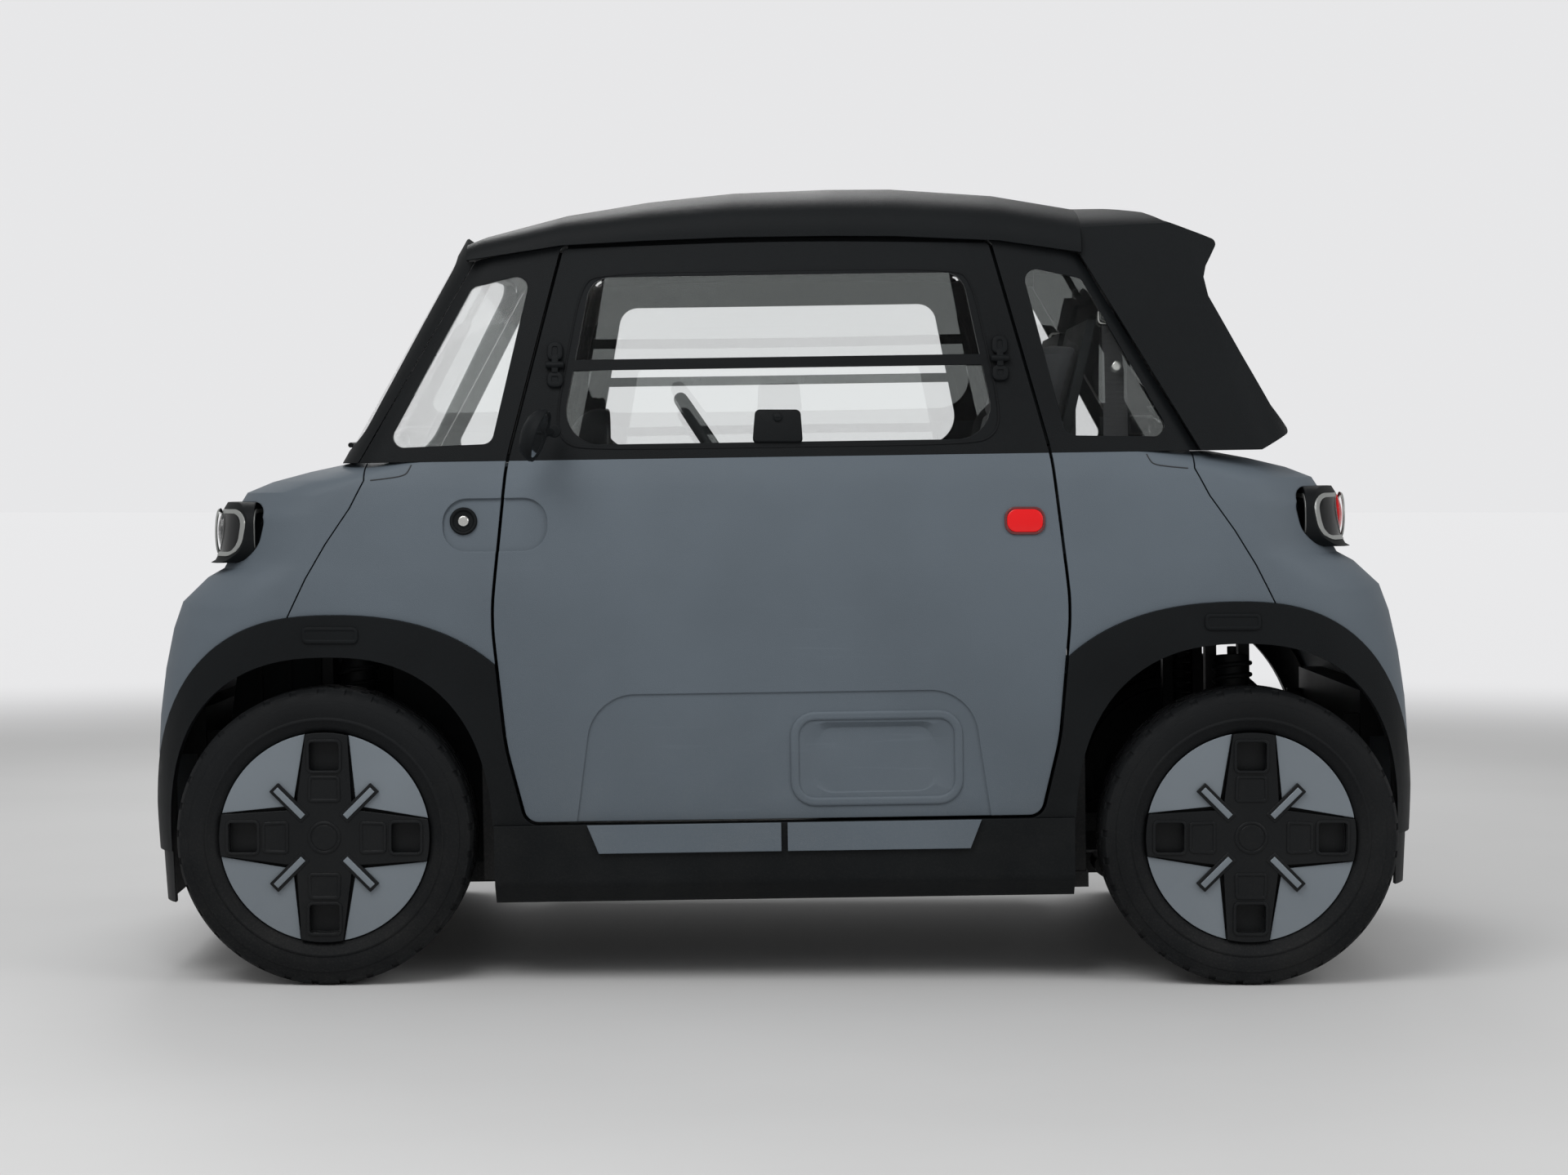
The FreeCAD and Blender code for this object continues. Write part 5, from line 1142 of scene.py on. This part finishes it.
@dataclass
class DoorTrim:
    """What is fixed to one door: window hinges, latch, seal, reflector and pocket rim."""

    side: int
    hinge_ahead: float = 0.416
    bar_height: float = 1.165
    hinge_sink: float = 0.004
    hinge_pads: tuple[tuple[float, Slab], ...] = (
        (0.026, Slab((0.031, 0.036), 0.012, 0.013, 0.003, taper=0.9, recess=0.006, recess_depth=0.002)),
        (-0.027, Slab((0.031, 0.030), 0.011, 0.012, 0.003, recess=0.006, recess_depth=0.002)))
    hinge_middle: tuple[Rod | Slab, ...] = (
        Rod((-0.017, 0, 0.007), (0.017, 0, 0.007), 0.0065, edge=0.0015),
        Slab((0.012, 0.030), 0.002, 0.010, 0.001), Slab((0.026, 0.009), 0.002, 0.009, 0.001))
    latch_ahead: float = 0.002
    latch_foot: float = 1.002
    latch_lift: float = 0.044
    latch_sink: float = 0.010
    latch_housing: Slab = Slab((0.094, 0.062), 0.009, 0.016, 0.003, taper=0.9)
    knob: Rod = Rod((0, 0.016, 0.012), (0, 0.016, 0.020), 0.0085, 28, edge=0.002)
    knob_slot: Slab = Slab((0.011, 0.003), 0.0008, 0.0015)
    knob_slot_at: Point = (0, 0.016, 0.0195)
    seal_radius: float = 0.0022
    seal_spread: float = 1.012
    seal_corners: tuple[Point, ...] = (
        (0.4105, 1.063), (0.398, 1.020), (0.352, 1.0065), (0.0, 1.0065), (-0.352, 1.0065), (-0.398, 1.020),
        (-0.4105, 1.063), (-0.385, 1.200), (-0.362, 1.315), (-0.330, 1.3375), (0.0, 1.3375), (0.330, 1.3375),
        (0.362, 1.315), (0.385, 1.200))
    reflector_at: Point = (-0.4552, 0.8625)
    reflector_shift: float = 0.09
    reflector_sink: float = 0.0015
    reflector_rim: Slab = Slab((0.076, 0.052), 0.0205, 0.0055, 0.001, border=0.005)
    reflector_lens: Slab = Slab((0.067, 0.043), 0.018, 0.0070, 0.002)
    pocket_at: Point = (-0.1740, 0.4250)
    pocket_sink: float = 0.0012
    pocket: Slab = Slab((0.322, 0.178), 0.046, 0.0050, 0.0042, border=0.017)

    def build(self) -> None:
        """Makes the pieces of this door, the window's on the left door and then turned onto this one."""
        name = "left" if self.side > 0 else "right"
        hinges = joined([self.window_hinge(ahead) for ahead in (self.hinge_ahead, -self.hinge_ahead)])
        for item, piece, slot in ((hinges, "window_hinges", Slot.TRIM), (self.latch(), "window_latch", Slot.TRIM),
                                  (self.window_seal(), "window_seal", Slot.TYRE)):
            if self.side < 0:
                moved(item, HALF_TURN)
            finished(item, f"{piece}_{name}", slot, f"door_window_frame_{name}")
        self.reflector(name)
        self.pocket_rim(name)

    def window_hinge(self, ahead: float) -> Item:
        """Two rounded pads above and below the bar, with a knuckle between.

        Args:
            ahead: Place along the door.

        Returns:
            The hinge on the left door.
        """
        node = "door_window_frame_left"
        pads = [moved(slab.build(), seat_on(node, ahead, self.bar_height + rise, sink=self.hinge_sink))
                for rise, slab in self.hinge_pads]
        place = seat_on(node, ahead, self.bar_height)
        return joined(pads + [moved(part.build(), place) for part in self.hinge_middle])

    def latch(self) -> Item:
        """The flap's latch housing with a round, slotted knob.

        Returns:
            The latch on the left door.
        """
        housing, knob = self.latch_housing.build(), self.knob.build()
        slot = moved(self.knob_slot.build(), Matrix.Translation(self.knob_slot_at))
        place = seat_on("door_window_frame_left", self.latch_ahead, self.latch_foot, sink=self.latch_sink)
        return moved(joined([housing, knob, slot]), place @ Matrix.Translation((0, self.latch_lift, 0)))

    def window_seal(self) -> Item:
        """A rubber bead round the left door's window opening."""
        places = [(ahead * self.seal_spread, BESIDE, height) for ahead, height in self.seal_corners]
        return tube_along(seen("door_window_frame_left", places, (0, -1, 0)), self.seal_radius, cyclic=True)

    def reflector(self, name: str) -> None:
        """The red side reflector in its dark red rim, moved on the right door to clear the lock.

        Args:
            name: The door's side.
        """
        ahead, height = self.reflector_at
        if self.side < 0:
            ahead += self.reflector_shift
        node = f"door_panel_{name}"
        spot = seat_on(node, ahead, height, self.side, sink=self.reflector_sink)
        rim = moved(self.reflector_rim.build(), spot)
        finished(rim, f"reflector_rim_{name}", Slot.RED, node, shade=Shade.DARK_RED)
        finished(moved(self.reflector_lens.build(), spot), f"reflector_lens_{name}", Slot.RED, node)

    def pocket_rim(self, name: str) -> None:
        """The soft raised border of the pocket low on the door.

        Args:
            name: The door's side.
        """
        rim = self.pocket.build()
        open_edit(rim, action="SELECT")
        bpy.ops.mesh.subdivide(number_cuts=3)
        close_edit()
        ahead, height = self.pocket_at
        moved(rim, Matrix.Translation((ahead * self.side, height, 0.0)))
        node = f"door_panel_{name}"
        draped(rim, node, self.side, self.pocket_sink)
        finished(rim, f"pocket_rim_{name}", Slot.BODY, node, crease=SOFT_CREASE)


# Body trim

@dataclass
class BodyTrim:
    """Locks, side markers, lid seams, mirrors, wiper and gap seals."""

    lock_at: Point = (0.5885, 0.8772)
    lock_ring: tuple[Point, ...] = ((-0.002, 0.026), (0.004, 0.0255), (0.006, 0.0235), (0.0055, 0.0205),
                                    (0.0015, 0.0175), (0.0012, 0.0105), (-0.002, 0.0105))
    lock_barrel: tuple[Point, ...] = ((-0.001, 0.0098), (0.0042, 0.0098), (0.0052, 0.0085), (0.0052, 0.0))
    marker_at: Point = (0.839, 0.6690)
    marker: Slab = Slab((0.105, 0.031), 0.010, 0.0048, 0.0018, recess=0.004, recess_depth=0.0015)
    marker_sink: float = 0.001
    lid_line: tuple[Point, ...] = ((0.762, 0.9555), (0.725, 0.9590), (0.697, 0.9640), (0.690, 0.9740),
                                   (0.686, 0.983))
    lid_radius: float = 0.0013
    mirror_at: Point = (0.441, 0.765, 1.034)
    mirror_foot: Point = (0.4150, 0.690, 1.0420)
    mirror_lean: Point = (-19.0, -8.0)
    mirror_arm_end: Point = (0.010, -0.020, 0)
    mirror_arm_radius: float = 0.0075
    mirror_base: Point = (-0.004, 0.012)
    mirror_base_radius: float = 0.0125
    mirror_shell: tuple[Point, ...] = (
        (-0.0035, 0.0), (-0.0035, 0.0430), (-0.0062, 0.0440), (-0.0075, 0.0470), (-0.0060, 0.0495),
        (0.0, 0.0505), (0.0080, 0.0480), (0.0170, 0.0410), (0.0240, 0.0300), (0.0278, 0.0160), (0.0290, 0.0))
    mirror_glass: tuple[Point, ...] = ((-0.0034, 0.0428), (-0.0046, 0.0415), (-0.0046, 0.0))
    wiper_arm: tuple[Point, ...] = ((-0.10, 1.030, 0.020), (0.05, 1.034, 0.024), (0.30, 1.040, 0.014))
    wiper_arm_radius: float = 0.0055
    blade_across: Point = (0.02, 0.16, 0.30, 0.44, 0.56)
    blade_height: float = 1.040
    blade_bow: float = 0.004
    blade_bend: float = 4
    blade_lift: float = 0.0065
    blade_radius: float = 0.0050
    wiper_hub: Point = (0.002, 0.030)
    wiper_hub_radius: float = 0.014
    seal_radius: float = 0.0125
    seal_behind: float = 0.016
    window_gaps: tuple[tuple[Point, Point], ...] = (((0.4975, 0.998), (0.4000, 1.376)),
                                                    ((-0.5040, 1.002), (-0.4000, 1.376)))
    header_half: float = 0.392
    header_height: float = 1.425
    header_drop: float = 0.003
    header_drops: int = 40
    header_lift: float = 0.004
    strip_radius: float = 0.007
    strip_behind: float = 0.014
    strip_sink: float = 0.001
    window_steps: int = 11
    header_steps: int = 14
    strips: tuple[tuple[str, tuple[Point, ...]], ...] = (
        ("front_quarter_panels", ((0.778, 0.981), (0.789, 0.938), (0.850, 0.826), (0.916, 0.703))),
        ("rear_quarter_panels", ((-0.774, 0.984), (-0.778, 0.956), (-0.852, 0.832), (-0.926, 0.705))))

    def build(self) -> None:
        """Makes the trim on both sides."""
        self.locks()
        self.markers()
        self.lid_seams()
        self.mirrors()
        self.wiper()
        self.gap_seals()

    def locks(self) -> None:
        """A round lock on the left front quarter, and its twin on the right rear one."""
        place = seat_on("front_quarter_panels", *self.lock_at) @ turn(90, "X")
        ring, barrel = moved(lathe(self.lock_ring), place), moved(lathe(self.lock_barrel, 40), place)
        for item, name, slot, shade in ((ring, "lock_ring", Slot.TRIM, None),
                                        (barrel, "lock_barrel", Slot.WHEEL_SILVER, Shade.BRIGHT)):
            other = copied(item, HALF_TURN)
            finished(item, f"{name}_left", slot, "front_quarter_panels", shade=shade)
            finished(other, f"{name}_right", slot, "rear_quarter_panels", shade=shade)

    def markers(self) -> None:
        """A raised rounded pad over each wheel arch."""
        ahead, height = self.marker_at
        pads = [moved(self.marker.build(), seat_on("arch_trims", way * ahead, height, side, self.marker_sink))
                for side in (1, -1) for way in (1, -1)]
        finished(joined(pads), "side_marker_pads", Slot.TRIM, "arch_trims")

    def lid_seams(self) -> None:
        """The outline of a small lid below the belt at each corner."""
        lines = []
        for side in (1, -1):
            for way, node in ((1, "front_quarter_panels"), (-1, "rear_quarter_panels")):
                places = [(way * ahead, side * BESIDE, height) for ahead, height in self.lid_line]
                lines.append(tube_along(seen(node, places, (0, -side, 0)), self.lid_radius))
        finished(joined(lines), "lid_seams", Slot.TRIM, "front_quarter_panels", shade=Shade.GAP)

    def mirrors(self) -> None:
        """A round dished mirror on a short arm beside each door window."""
        spot, foot = RAKE @ Vector(self.mirror_at), RAKE @ Vector(self.mirror_foot)
        pitch, yaw = self.mirror_lean
        place = Matrix.Translation(spot) @ turn(pitch, "Y") @ turn(yaw, "Z") @ turn(-90, "Z")
        shell = moved(lathe(self.mirror_shell, 64), place)
        glass = moved(lathe(self.mirror_glass), place)
        arm = Rod(foot, spot + Vector(self.mirror_arm_end), self.mirror_arm_radius, edge=0.001)
        ends = (foot + Vector((0, reach, 0)) for reach in self.mirror_base)
        base = Rod(*ends, self.mirror_base_radius, 28, edge=0.003)
        shell = joined([shell, arm.build(), base.build()])
        for name, matrix in (("left", Matrix()), ("right", MIRROR)):
            node = f"mirror_{name}"
            finished(copied(shell, matrix), f"mirror_shell_{name}", Slot.TRIM, node, (node,))
            finished(copied(glass, matrix), f"mirror_glass_{name}", Slot.TRIM, node, shade=Shade.MIRROR)
        for item in (shell, glass):
            bpy.data.objects.remove(item)

    def wiper(self) -> None:
        """One wiper parked along the foot of the windscreen."""
        across, height, _ = self.wiper_arm[0]
        arm = tube_along([self.on_glass(*spot) for spot in self.wiper_arm], self.wiper_arm_radius)
        blade = tube_along([self.on_glass(y, self.blade_height + self.blade_bow * math.cos(y * self.blade_bend),
                                          self.blade_lift) for y in self.blade_across], self.blade_radius)
        ends = (self.on_glass(across, height, lift) for lift in self.wiper_hub)
        hub = Rod(*ends, self.wiper_hub_radius, 28, edge=0.003).build()
        finished(joined([arm, blade, hub]), "wiper", Slot.TRIM, "windscreen_frame")

    @staticmethod
    def on_glass(across: float, height: float, lift: float) -> Vector:
        """A point that much in front of the windscreen."""
        _, spot, normal = cast("windscreen", (BESIDE, across, height), (-1, 0, 0))
        return spot + normal * lift

    def gap_seals(self) -> None:
        """Rubber seals behind the gaps round the door windows and between the body's panels."""
        seals = []
        for low, high in self.window_gaps:
            behind = math.copysign(self.seal_behind, low[0])
            shares = [k / self.window_steps for k in range(self.window_steps + 1)]
            line = [[a + (b - a) * share for a, b in zip(low, high)] for share in shares]
            spots = self.inside("quarter_window_frames", [(ahead + behind, height) for ahead, height in line])
            seals.append(self.seal(spots, Vector((-behind, 0, 0)), self.seal_radius))
        header = []
        for k in range(self.header_steps + 1):
            ahead = -self.header_half + 2 * self.header_half * k / self.header_steps
            line = [(ahead, self.header_height - self.header_drop * drop) for drop in range(self.header_drops)]
            header += self.inside("door_window_frame_left", line)[:1]
        seals.append(self.seal(header, Vector((0, 0, self.header_lift)), self.seal_radius))
        for node, line in self.strips:
            behind = math.copysign(self.strip_behind, line[0][0])
            spots = self.inside(node, [(ahead - behind, height) for ahead, height in line])
            seals.append(self.seal(spots, Vector((behind, -self.strip_sink, 0)), self.strip_radius))
        seals += [copied(item, MIRROR) for item in seals]
        finished(joined(seals), "panel_gap_seals", Slot.TRIM, "quarter_window_frames")

    @staticmethod
    def inside(node: str, line: Iterable[Point]) -> list[Vector]:
        """The points on a node's left inner face at these places ahead and heights."""
        return seen(node, [(ahead, INSIDE, height) for ahead, height in line], (0, 1, 0))

    @staticmethod
    def seal(spots: Sequence[Vector], shift: Vector, radius: float) -> Item:
        """A round seal just inside a line of points that are first shifted."""
        return tube_along([spot + shift - Vector((0, radius, 0)) for spot in spots], radius)


# Lamps

@dataclass
class Lamps:
    """Silver bands and smoked covers on the four corner lamps, following the housings' curved faces."""

    inner: float = 0.395
    outer: float = 0.650
    bottom: float = 0.804
    top: float = 0.918
    corner: float = 0.046
    band_margin: float = 0.013
    band_width: float = 0.008
    band_proud: float = 0.0016
    cover_proud: float = 0.0010
    lens_place: float = 0.500
    lens_radius: float = 0.046
    tool_from: float = 0.90
    tool_depth: float = 0.30
    hole_from: float = 0.8
    hole_to: float = 1.3
    lens_sink: float = 0.004
    lens_ring: tuple[Point, ...] = ((0.0, 0.0015), (0.0035, 0.0), (0.0035, -0.004), (0.0, -0.007))

    def build(self) -> None:
        """Makes the bands, covers and lens rings."""
        self.ring(self.band_margin, self.band_width, self.band_proud, "lamp_silver_bands", Shade.SILVER)
        self.ring(self.band_margin + self.band_width, 0.0, self.cover_proud, "lamp_covers", Shade.LAMP_GLASS)
        self.lens_rings()

    def ring(self, margin: float, width: float, proud: float, name: str, shade: Shade) -> None:
        """A rounded band or cover on each lamp.

        Args:
            margin: How far in from the housing's outline it starts.
            width: Its width, or zero when it fills the inside round the lens.
            proud: How far it stands off the housing.
            name: The piece's name.
            shade: Its finish.
        """
        size = (self.outer - self.inner - 2 * margin, self.top - self.bottom - 2 * margin)
        middle = Vector((self.tool_from, (self.inner + self.outer) / 2, (self.bottom + self.top) / 2))
        tool = moved(Slab(size, self.corner - margin, self.tool_depth, border=width).build(),
                     Matrix.Translation(middle) @ ONTO_FRONT)
        if not width:
            ends = ((ahead, self.lens_place, middle.z) for ahead in (self.hole_from, self.hole_to))
            trimmed(tool, Rod(*ends, self.lens_radius, 48).build(), "DIFFERENCE")
        tools = [tool, copied(tool, MIRROR)]
        tools += [copied(item, turn(180, "Z")) for item in tools]
        whole = moved(joined(tools), RAKE)
        housing = shaped(plain_copy("lamp_housings"), "DISPLACE", strength=proud, mid_level=0.0)
        trimmed(whole, housing, "INTERSECT")
        finished(whole, name, Slot.LENS, "lamp_housings", shade=shade)

    def lens_rings(self) -> None:
        """A bright ring round each round lamp lens."""
        rings = []
        for node, way in (("headlamp_lenses", 1), ("tail_lamp_lenses", -1)):
            low, high = (Vector(c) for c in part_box(node))
            radius = (high.z - low.z) / 2
            front = high.x if way > 0 else low.x
            for side in (1, -1):
                centre = Vector((front - way * self.lens_sink, side * (high.y - radius), (high.z + low.z) / 2))
                ring = lathe((across, radius + extra) for across, extra in self.lens_ring)
                rings.append(moved(ring, Matrix.Translation(centre) @ turn(-90 * way, "Z")))
        finished(joined(rings), "lens_rings", Slot.LENS, "lamp_housings", shade=Shade.SILVER)


# Underneath

@dataclass(frozen=True)
class Coil:
    """Where a left-hand spring stands: its damper's foot and head as (Y, Z), and its share of that line."""

    end: str
    shift: float
    foot: Point
    head: Point
    start: float
    stop: float


@dataclass
class RunningGear:
    """Coil springs round the dampers, and dark shields inside the front arches."""

    coils: tuple[Coil, ...] = (Coil("front", -0.030, (0.465, 0.178), (0.407, 0.600), 0.60, 0.985),
                               Coil("rear", 0.0, (0.455, 0.2785), (0.407, 0.620), 0.55, 0.94))
    coil_radius: float = 0.036
    wire_radius: float = 0.0048
    turns: int = 6
    points_a_turn: int = 12
    shield: Slab = Slab((0.50, 0.34), 0.05, 0.004, 0.001, taper=0.8)
    shield_at: Point = (0.855, 0.322, 0.54)
    rib: Slab = Slab((0.010, 0.24), 0.003, 0.006, 0.001)
    rib_pitch: float = 0.058
    rib_foot: float = 0.003

    def build(self) -> None:
        """Makes the springs and shields."""
        for coil in self.coils:
            self.springs(coil)
        self.shields()

    def springs(self, coil: Coil) -> None:
        """A coil on each side's damper.

        Args:
            coil: Where the left one stands.
        """
        low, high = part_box(f"wheel_{coil.end}_left")
        ahead = (low[0] + high[0]) / 2 + coil.shift
        foot = Vector((ahead, *coil.foot))
        run = Vector((ahead, *coil.head)) - foot
        stand = aimed(run, "Z", "Y")
        count = self.turns * self.points_a_turn
        points = []
        for k in range(count + 1):
            angle = math.tau * k / self.points_a_turn
            along = run.length * (coil.start + (coil.stop - coil.start) * k / count)
            spot = Vector((self.coil_radius * math.cos(angle), self.coil_radius * math.sin(angle), along))
            points.append(stand @ spot + foot)
        left = tube_along(points, self.wire_radius)
        pair = joined([left, copied(left, MIRROR)])
        finished(pair, f"coil_springs_{coil.end}", Slot.STEEL, f"{coil.end}_suspension")

    def shields(self) -> None:
        """A ribbed splash shield between each front wheel and the motor bay."""
        rib = self.rib.build()
        ribs = [copied(rib, Matrix.Translation((k * self.rib_pitch, 0, self.rib_foot))) for k in range(-3, 4)]
        bpy.data.objects.remove(rib)
        left = moved(joined([self.shield.build()] + ribs), Matrix.Translation(self.shield_at) @ ONTO_SIDE)
        whole = moved(joined([left, copied(left, MIRROR)]), RAKE)
        finished(whole, "splash_shields", Slot.CABIN, "chassis_frame")


# Cabin

@dataclass
class Cabin:
    """Instrument, steering wheel, belts and seat cushions."""

    instrument_at: Point = (0.3405, 0.300, 1.033)
    instrument_radius: float = 0.0565
    instrument_ring: tuple[Point, ...] = ((-0.002, 0.0565), (0.004, 0.0560), (0.006, 0.0530), (0.004, 0.0500),
                                          (0.0, 0.0495))
    instrument_face: tuple[Point, ...] = ((0.0, 0.0495), (0.0022, 0.0480), (0.0030, 0.0))
    shell_depth: float = 0.060
    shell_start: float = -0.010
    shell_steps: int = 12
    wheel_at: Point = (0.100, 0.300, 0.963)
    wheel_tilt: float = 33.0
    wheel_radius: float = 0.170
    grip_radius: float = 0.0135
    grip_sides: int = 14
    wheel_hub: tuple[Point, ...] = ((-0.030, 0.038), (-0.012, 0.044), (0.006, 0.043), (0.014, 0.036), (0.017, 0.0))
    spoke: Slab = Slab((0.022, 0.148), 0.002, 0.007, 0.002, taper=1.5)
    spoke_at: Point = (0, -0.004, 0.094)
    spoke_angles: Point = (90, -90, 180)
    boss: Rod = Rod((0, -0.060, 0), (0, -0.010, 0), 0.016, 24)
    strap: Slab = Slab((0.046, 0.52), 0.002, 0.0014)
    strap_at: Point = (-0.640, 0.545, 0.985)
    strap_lean: float = 0.05
    guide: Slab = Slab((0.066, 0.030), 0.008, 0.006, 0.001, border=0.005)
    guide_at: Point = (-0.640, 0.552, 1.245)
    tongue: Rod = Rod((-0.640, 0.560, 1.150), (-0.640, 0.574, 1.150), 0.009, 24, edge=0.002)
    pad_voxel: float = 0.006
    pad_shrink: float = -0.007
    pad_fill: float = 0.7
    pressure: float = 4.0
    puff_limit: float = 0.012
    puff_frames: int = 20
    seam_depth: float = 0.0065
    seam_width: float = 0.006
    seam_span: Point = (0.05, 0.95)
    cushion_parts: int = 4
    back_parts: int = 6
    into_back: Point = (-0.97, 0, -0.24)

    def build(self) -> None:
        """Makes the cabin's pieces."""
        self.instrument()
        self.steering_wheel()
        self.belts()
        self.pads()

    def instrument(self) -> None:
        """A round display on the dashboard's pod, facing the driver."""
        bowl = [(self.shell_start, self.instrument_radius)]
        for k in range(1, self.shell_steps + 1):
            angle = math.pi / (2 * self.shell_steps) * k
            bowl.append((self.shell_start - self.shell_depth * math.sin(angle),
                         self.instrument_radius * math.cos(angle)))
        place = Matrix.Translation(RAKE @ Vector(self.instrument_at)) @ turn(90, "Z")
        for name, profile, shade in (("shell", bowl, None), ("ring", self.instrument_ring, None),
                                     ("face", self.instrument_face, Shade.DIAL)):
            finished(moved(lathe(profile), place), f"instrument_{name}", Slot.CABIN, "dashboard", shade=shade)

    def steering_wheel(self) -> None:
        """A round grip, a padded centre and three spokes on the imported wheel's place."""
        tilt = math.radians(self.wheel_tilt)
        axis = RAKE.to_3x3() @ Vector((-math.cos(tilt), 0, math.sin(tilt)))
        place = Matrix.Translation(RAKE @ Vector(self.wheel_at)) @ aimed(axis, "Y", "Z")
        angles = [math.tau * k / self.grip_sides for k in range(self.grip_sides)]
        grip = lathe([(self.grip_radius * math.sin(a), self.wheel_radius + self.grip_radius * math.cos(a))
                      for a in angles], 72, closed=True)
        hub = lathe(self.wheel_hub, 40)
        spokes = [moved(self.spoke.build(), turn(angle, "Y") @ Matrix.Translation(self.spoke_at) @ ONTO_SIDE)
                  for angle in self.spoke_angles]
        wheel = moved(joined([grip, hub, self.boss.build()] + spokes), place)
        finished(wheel, "padded_steering_wheel", Slot.CABIN, "steering_wheel", ("steering_wheel",))

    def belts(self) -> None:
        """A shoulder belt on each side, with its upper guide and tongue."""
        strap = moved(self.strap.build(), Matrix.Translation(self.strap_at)
                      @ Matrix.Rotation(self.strap_lean, 4, "X") @ ONTO_SIDE)
        guide = moved(self.guide.build(), Matrix.Translation(self.guide_at) @ ONTO_SIDE)
        for items, name, slot, shade in (
                ([strap], "shoulder_belts", Slot.FABRIC, Shade.WEBBING),
                ([guide, self.tongue.build()], "belt_fittings", Slot.STEEL, Shade.BRIGHT)):
            whole = moved(joined(items + [copied(item, MIRROR) for item in items]), RAKE)
            finished(whole, name, slot, "seat_shells", shade=shade)

    def pads(self) -> None:
        """The four seat pads, puffed up by a cloth simulation and sewn in channels."""
        only(plain_copy("seat_pads"))
        bpy.ops.mesh.separate(type="LOOSE")
        parts = sorted(bpy.context.selected_objects, key=self.pad_order)
        for name, part in zip(("right_cushion", "right_back", "left_cushion", "left_back"), parts):
            self.puffed(part)
            self.sewn(part, "cushion" in name)
            finished(part, f"seat_{name}", Slot.FABRIC, "seat_pads", ("seat_pads",),
                     crease=SOFT_CREASE)

    @staticmethod
    def pad_order(item: Item) -> tuple[bool, float]:
        """Sorts the pads: right before left, cushion before back."""
        spots = [vertex.co for vertex in item.data.vertices]
        return sum(s.y for s in spots) > 0, max(s.z for s in spots)

    def puffed(self, item: Item) -> None:
        """Shrinks, remeshes and inflates a pad, with a limit on how far any point moves.

        Args:
            item: The pad.
        """
        shaped(item, "DISPLACE", strength=self.pad_shrink, mid_level=0.0)
        shaped(item, "REMESH", mode="VOXEL", voxel_size=self.pad_voxel)
        start = [vertex.co.copy() for vertex in item.data.vertices]
        cloth = item.modifiers.new("puff", "CLOTH")
        cloth.settings.use_pressure = True
        cloth.settings.uniform_pressure_force = self.pressure
        cloth.settings.effector_weights.gravity = 0
        cloth.settings.quality = 4
        for number in range(1, self.puff_frames + 1):
            bpy.context.scene.frame_set(number)
        bpy.ops.object.modifier_apply(modifier=cloth.name)
        bpy.context.scene.frame_set(1)
        for vertex, first in zip(item.data.vertices, start):
            move = vertex.co - first
            if move.length > self.puff_limit:
                vertex.co = first + move.normalized() * self.puff_limit
        shaped(item, "SUBSURF", levels=1, render_levels=1)

    def sewn(self, item: Item, flat: bool) -> None:
        """Presses sewn channels across a pad.

        Args:
            item: The pad.
            flat: Whether it is a seat cushion and not a back.
        """
        inward = Vector((0, 0, -1)) if flat else Vector(self.into_back)
        axis, count = (0, self.cushion_parts) if flat else (2, self.back_parts)
        places = [vertex.co[axis] for vertex in item.data.vertices]
        low, high = min(places), max(places)
        normals = [vertex.normal.copy() for vertex in item.data.vertices]
        for vertex, place, normal in zip(item.data.vertices, places, normals):
            along = (place - low) / (high - low)
            away = abs(along * count - round(along * count)) / count * (high - low)
            facing = max(0.0, -normal.dot(inward))
            if self.seam_span[0] < along < self.seam_span[1]:
                vertex.co += inward * self.seam_depth * math.exp(-(away / self.seam_width) ** 2) * facing


def main() -> None:
    """Builds the studio and the car in order."""
    logging.basicConfig(level=logging.INFO, format="%(message)s")
    Studio().build()
    dress_nodes()
    bpy.context.view_layer.update()
    for place, side in (("front_left", 1), ("front_right", -1), ("rear_left", 1), ("rear_right", -1)):
        RoadWheel(place, side).build()
    for side in (1, -1):
        DoorTrim(side).build()
    BodyTrim().build()
    Lamps().build()
    RunningGear().build()
    Cabin().build()


if __name__ == "__main__":
    main()
